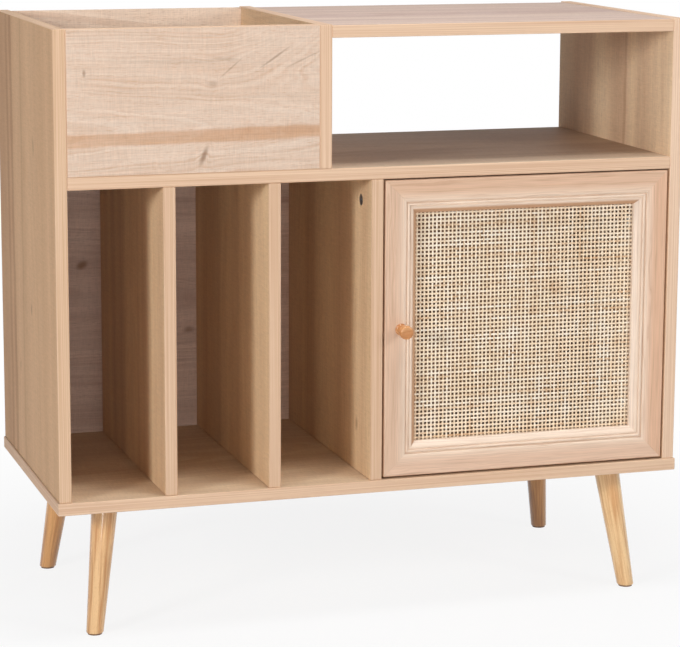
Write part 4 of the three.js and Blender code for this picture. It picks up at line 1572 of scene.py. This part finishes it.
@dataclass
class Screws:
    """Heads of the cross-head screws in the leg plates and the hinge plates. Lengths are in millimetres."""

    radius: float = 3.3
    height: float = 1.9
    round_radius: float = 1.1
    recess_reach: float = 1.9
    recess_width: float = 0.8
    recess_depth: float = 1.2
    seat_gap: float = 0.05
    plate_reach: float = 22.0
    plate_thickness: float = 2.5
    end_inset: float = 5.0
    steps: int = 32
    first_turn: float = 0.4
    turn_step: float = 1.9

    def build(self) -> None:
        """Sets the screws of every plate."""
        reach = self.plate_reach * MM
        for place in CORNERS:
            low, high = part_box(f"leg_plate_{place}")
            middle = (low + high) / 2
            middle.z = high.z - self.plate_thickness * MM
            seats = [middle + Vector((i * reach, j * reach, 0.0)) for i in (-1, 1) for j in (-1, 1)]
            self.row(f"leg_plate_screws_{place}", seats, Vector((0, 0, -1)))
        for level in HINGES:
            low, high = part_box(f"hinge_plate_{level}")
            ends = (low.z + self.end_inset * MM, high.z - self.end_inset * MM)
            seats = [Vector((low.x, (low.y + high.y) / 2, z)) for z in ends]
            self.row(f"hinge_plate_screws_{level}", seats, Vector((-1, 0, 0)))

    def head(self) -> bmesh.types.BMesh:
        """Makes one head on the XY plane, with its cross recess.

        Returns:
            The mesh.
        """
        rounding = self.round_radius
        outline = [(0.0, 0.0), (self.radius, 0.0)]
        outline += arc((self.radius - rounding, self.height - rounding), (rounding, rounding), 0, 75, 5)
        outline += [(0.0, self.height)]
        bm = turned([(radius * MM, height * MM) for radius, height in outline], self.steps)
        sides = (self.recess_reach * 2 * MM, self.recess_width * MM, self.recess_depth * 2 * MM, 1)
        for turn in (0.0, math.pi / 2):
            tool = bmesh.new()
            place = Matrix.Translation((0, 0, self.height * MM)) @ Matrix.Rotation(turn, 4, "Z")
            bmesh.ops.create_cube(tool, size=1.0, matrix=place @ Matrix.Diagonal(sides))
            bm = carved(bm, tool)
        return bm

    def row(self, name: str, seats: list[Vector], way: Vector) -> None:
        """Sets one head on each seat.

        Args:
            name: Name of the piece.
            seats: Middle of each head's seat, in metres.
            way: Direction in which the heads stand out.
        """
        bm = bmesh.new()
        for number, points in enumerate(copied(bm, self.head(), len(seats))):
            place = Matrix.Translation(seats[number] + way * self.seat_gap * MM)
            turn = Matrix.Rotation(self.first_turn + self.turn_step * number, 4, "Z")
            bmesh.ops.transform(bm, matrix=place @ leaning(way) @ turn, verts=points)
        shaded(bm, 40.0)
        finished(name, bm, ZINC_PLATE.material(), CABINET)


# Studio


@dataclass(frozen=True)
class Lamp:
    """Square soft light.

    Attributes:
        name: Name of the lamp.
        place: Place of its middle.
        size: Side of the square.
        power: Watts.
        aim: Point that it faces.
    """

    name: str
    place: tuple[float, float, float]
    size: float
    power: float
    aim: tuple[float, float, float] = (0.0, -0.18, 0.42)

    def build(self) -> None:
        """Makes the lamp."""
        data = bpy.data.lights.new(self.name, "AREA")
        data.energy = self.power
        data.size = self.size
        lamp = linked(self.name, data)
        lamp.location = self.place
        lamp.rotation_euler = (Vector(self.place) - Vector(self.aim)).to_track_quat("Z", "Y").to_euler()


@dataclass
class Studio:
    """Floor, lights, world and camera.

    Attributes:
        place: Place of the camera.
        yaw: Degrees that it looks to the right of +Y.
        pitch: Degrees that it looks down.
        roll: Degrees that it is turned about its own line of sight.
        lens: Focal length in millimetres.
        shift: Vertical shift.
        ambient: Strength of the light from all round.
        ambient_tint: Colour of that light, which cools the shadows.
        floor_size: Half side of the floor.
        floor_tone: Linear grey of the floor near the cabinet.
        white_from: Distance from the middle at which the floor starts to turn white.
        white_to: Distance from the middle at which it is white.
        lamps: Soft lights.
    """

    place: tuple[float, float, float] = (-1.0147, -3.2083, 1.0031)
    yaw: float = 17.621
    pitch: float = 9.998
    roll: float = 0.226
    lens: float = 132.07
    shift: float = -0.05
    ambient: float = 0.07
    ambient_tint: str = "E8DCFF"
    floor_size: float = 20.0
    floor_tone: float = 0.86
    white_from: float = 0.35
    white_to: float = 1.1
    lamps: tuple[Lamp, ...] = (
        Lamp("left_softbox", (-2.55, -1.62, 1.2), 0.5, 37.5),
        Lamp("right_softbox", (1.7, -1.9, 1.25), 0.6, 17.5),
        Lamp("overhead_softbox", (0.05, -0.5, 2.3), 0.6, 20.0),
        Lamp("front_softbox", (-0.35, -3.0, 0.75), 0.45, 11.5),
        Lamp("low_softbox", (-1.45, -2.9, 0.25), 0.24, 6.0, (-0.3, -0.1, 0.1)),
        Lamp("rear_softbox", (1.5, 2.8, 0.35), 0.5, 30.0),
    )

    def build(self) -> None:
        """Sets up the whole studio."""
        bpy.context.scene.view_settings.view_transform = "Standard"
        self.world()
        self.floor()
        for lamp in self.lamps:
            lamp.build()
        self.camera()

    def seen(self, g: Graph) -> bpy.types.NodeSocket:
        """Tells the background as it is seen from the light that it gives.

        Args:
            g: Node tree that the nodes go into.

        Returns:
            One where the camera, a reflection or glass shows it, and zero where it gives light.
        """
        path = g.add("LightPath").node.outputs
        seen = g.add("Math", {0: path["Is Camera Ray"], 1: path["Is Glossy Ray"]}, operation="MAXIMUM")
        return g.add("Math", {0: seen, 1: path["Is Transmission Ray"]}, operation="MAXIMUM")

    def world(self) -> None:
        """Makes the world white to the eye and in reflections, and a soft fill otherwise."""
        world = bpy.data.worlds.new("studio")
        bpy.context.scene.world = world
        g = Graph(world)
        seen = self.seen(g)
        strength = g.add("MapRange", {"Value": seen, "To Min": self.ambient, "To Max": 1.0})
        tones = {FIRST: linear(self.ambient_tint), SECOND: (1, 1, 1, 1)}
        tint = g.add("Mix", {SHARE: seen, **tones}, **BLEND)
        g.add("OutputWorld", {"Surface": g.add("Background", {"Color": tint, "Strength": strength})})

    def floor(self) -> None:
        """Makes a pale floor that keeps the cabinet's shadow and turns white further out."""
        bm = bmesh.new()
        bmesh.ops.create_grid(bm, x_segments=1, y_segments=1, size=self.floor_size)
        floor = linked("studio_floor", poured("studio_floor", bm))
        material = bpy.data.materials.new("white_studio_floor")
        floor.data.materials.append(material)
        g = Graph(material)
        reach = g.add("VectorMath", {0: g.add("TexCoord", out="Object")}, out="Value", operation="LENGTH")
        limits = {"From Min": self.white_from, "From Max": self.white_to, "To Min": self.floor_tone}
        far = g.add("MapRange", {"Value": reach, **limits})
        white = g.add("Math", {0: self.seen(g), 1: far}, operation="MULTIPLY")
        lit = g.add("BsdfDiffuse", {"Color": (self.floor_tone, self.floor_tone, self.floor_tone, 1)})
        glow = g.add("Emission", {"Color": (1, 1, 1, 1), "Strength": 1.0})
        g.add("OutputMaterial", {"Surface": g.add("MixShader", {0: white, 1: lit, 2: glow})})

    def camera(self) -> None:
        """Makes the camera at the photograph's viewing angle."""
        data = bpy.data.cameras.new("view")
        data.lens = self.lens
        data.shift_y = self.shift
        camera = linked("view", data)
        yaw, pitch, roll = (math.radians(angle) for angle in (self.yaw, self.pitch, self.roll))
        ahead = Vector((math.sin(yaw) * math.cos(pitch), math.cos(yaw) * math.cos(pitch), -math.sin(pitch)))
        level = Vector((math.cos(yaw), -math.sin(yaw), 0.0))
        up = level.cross(ahead)
        right = level * math.cos(roll) + up * math.sin(roll)
        above = up * math.cos(roll) - level * math.sin(roll)
        turn = Matrix((right, above, -ahead)).transposed().to_4x4()
        camera.matrix_world = Matrix.Translation(self.place) @ turn
        bpy.context.scene.camera = camera


def main() -> None:
    """Builds the studio and dresses the cabinet, piece by piece."""
    logging.basicConfig(level=logging.INFO, format="%(message)s")
    Studio().build()
    Carcase().dress()
    Legs().build()
    DoorFrame().build()
    CaneWebbing().build()
    Knob().build()
    Fittings().dress()
    Screws().build()


if __name__ == "__main__":
    main()
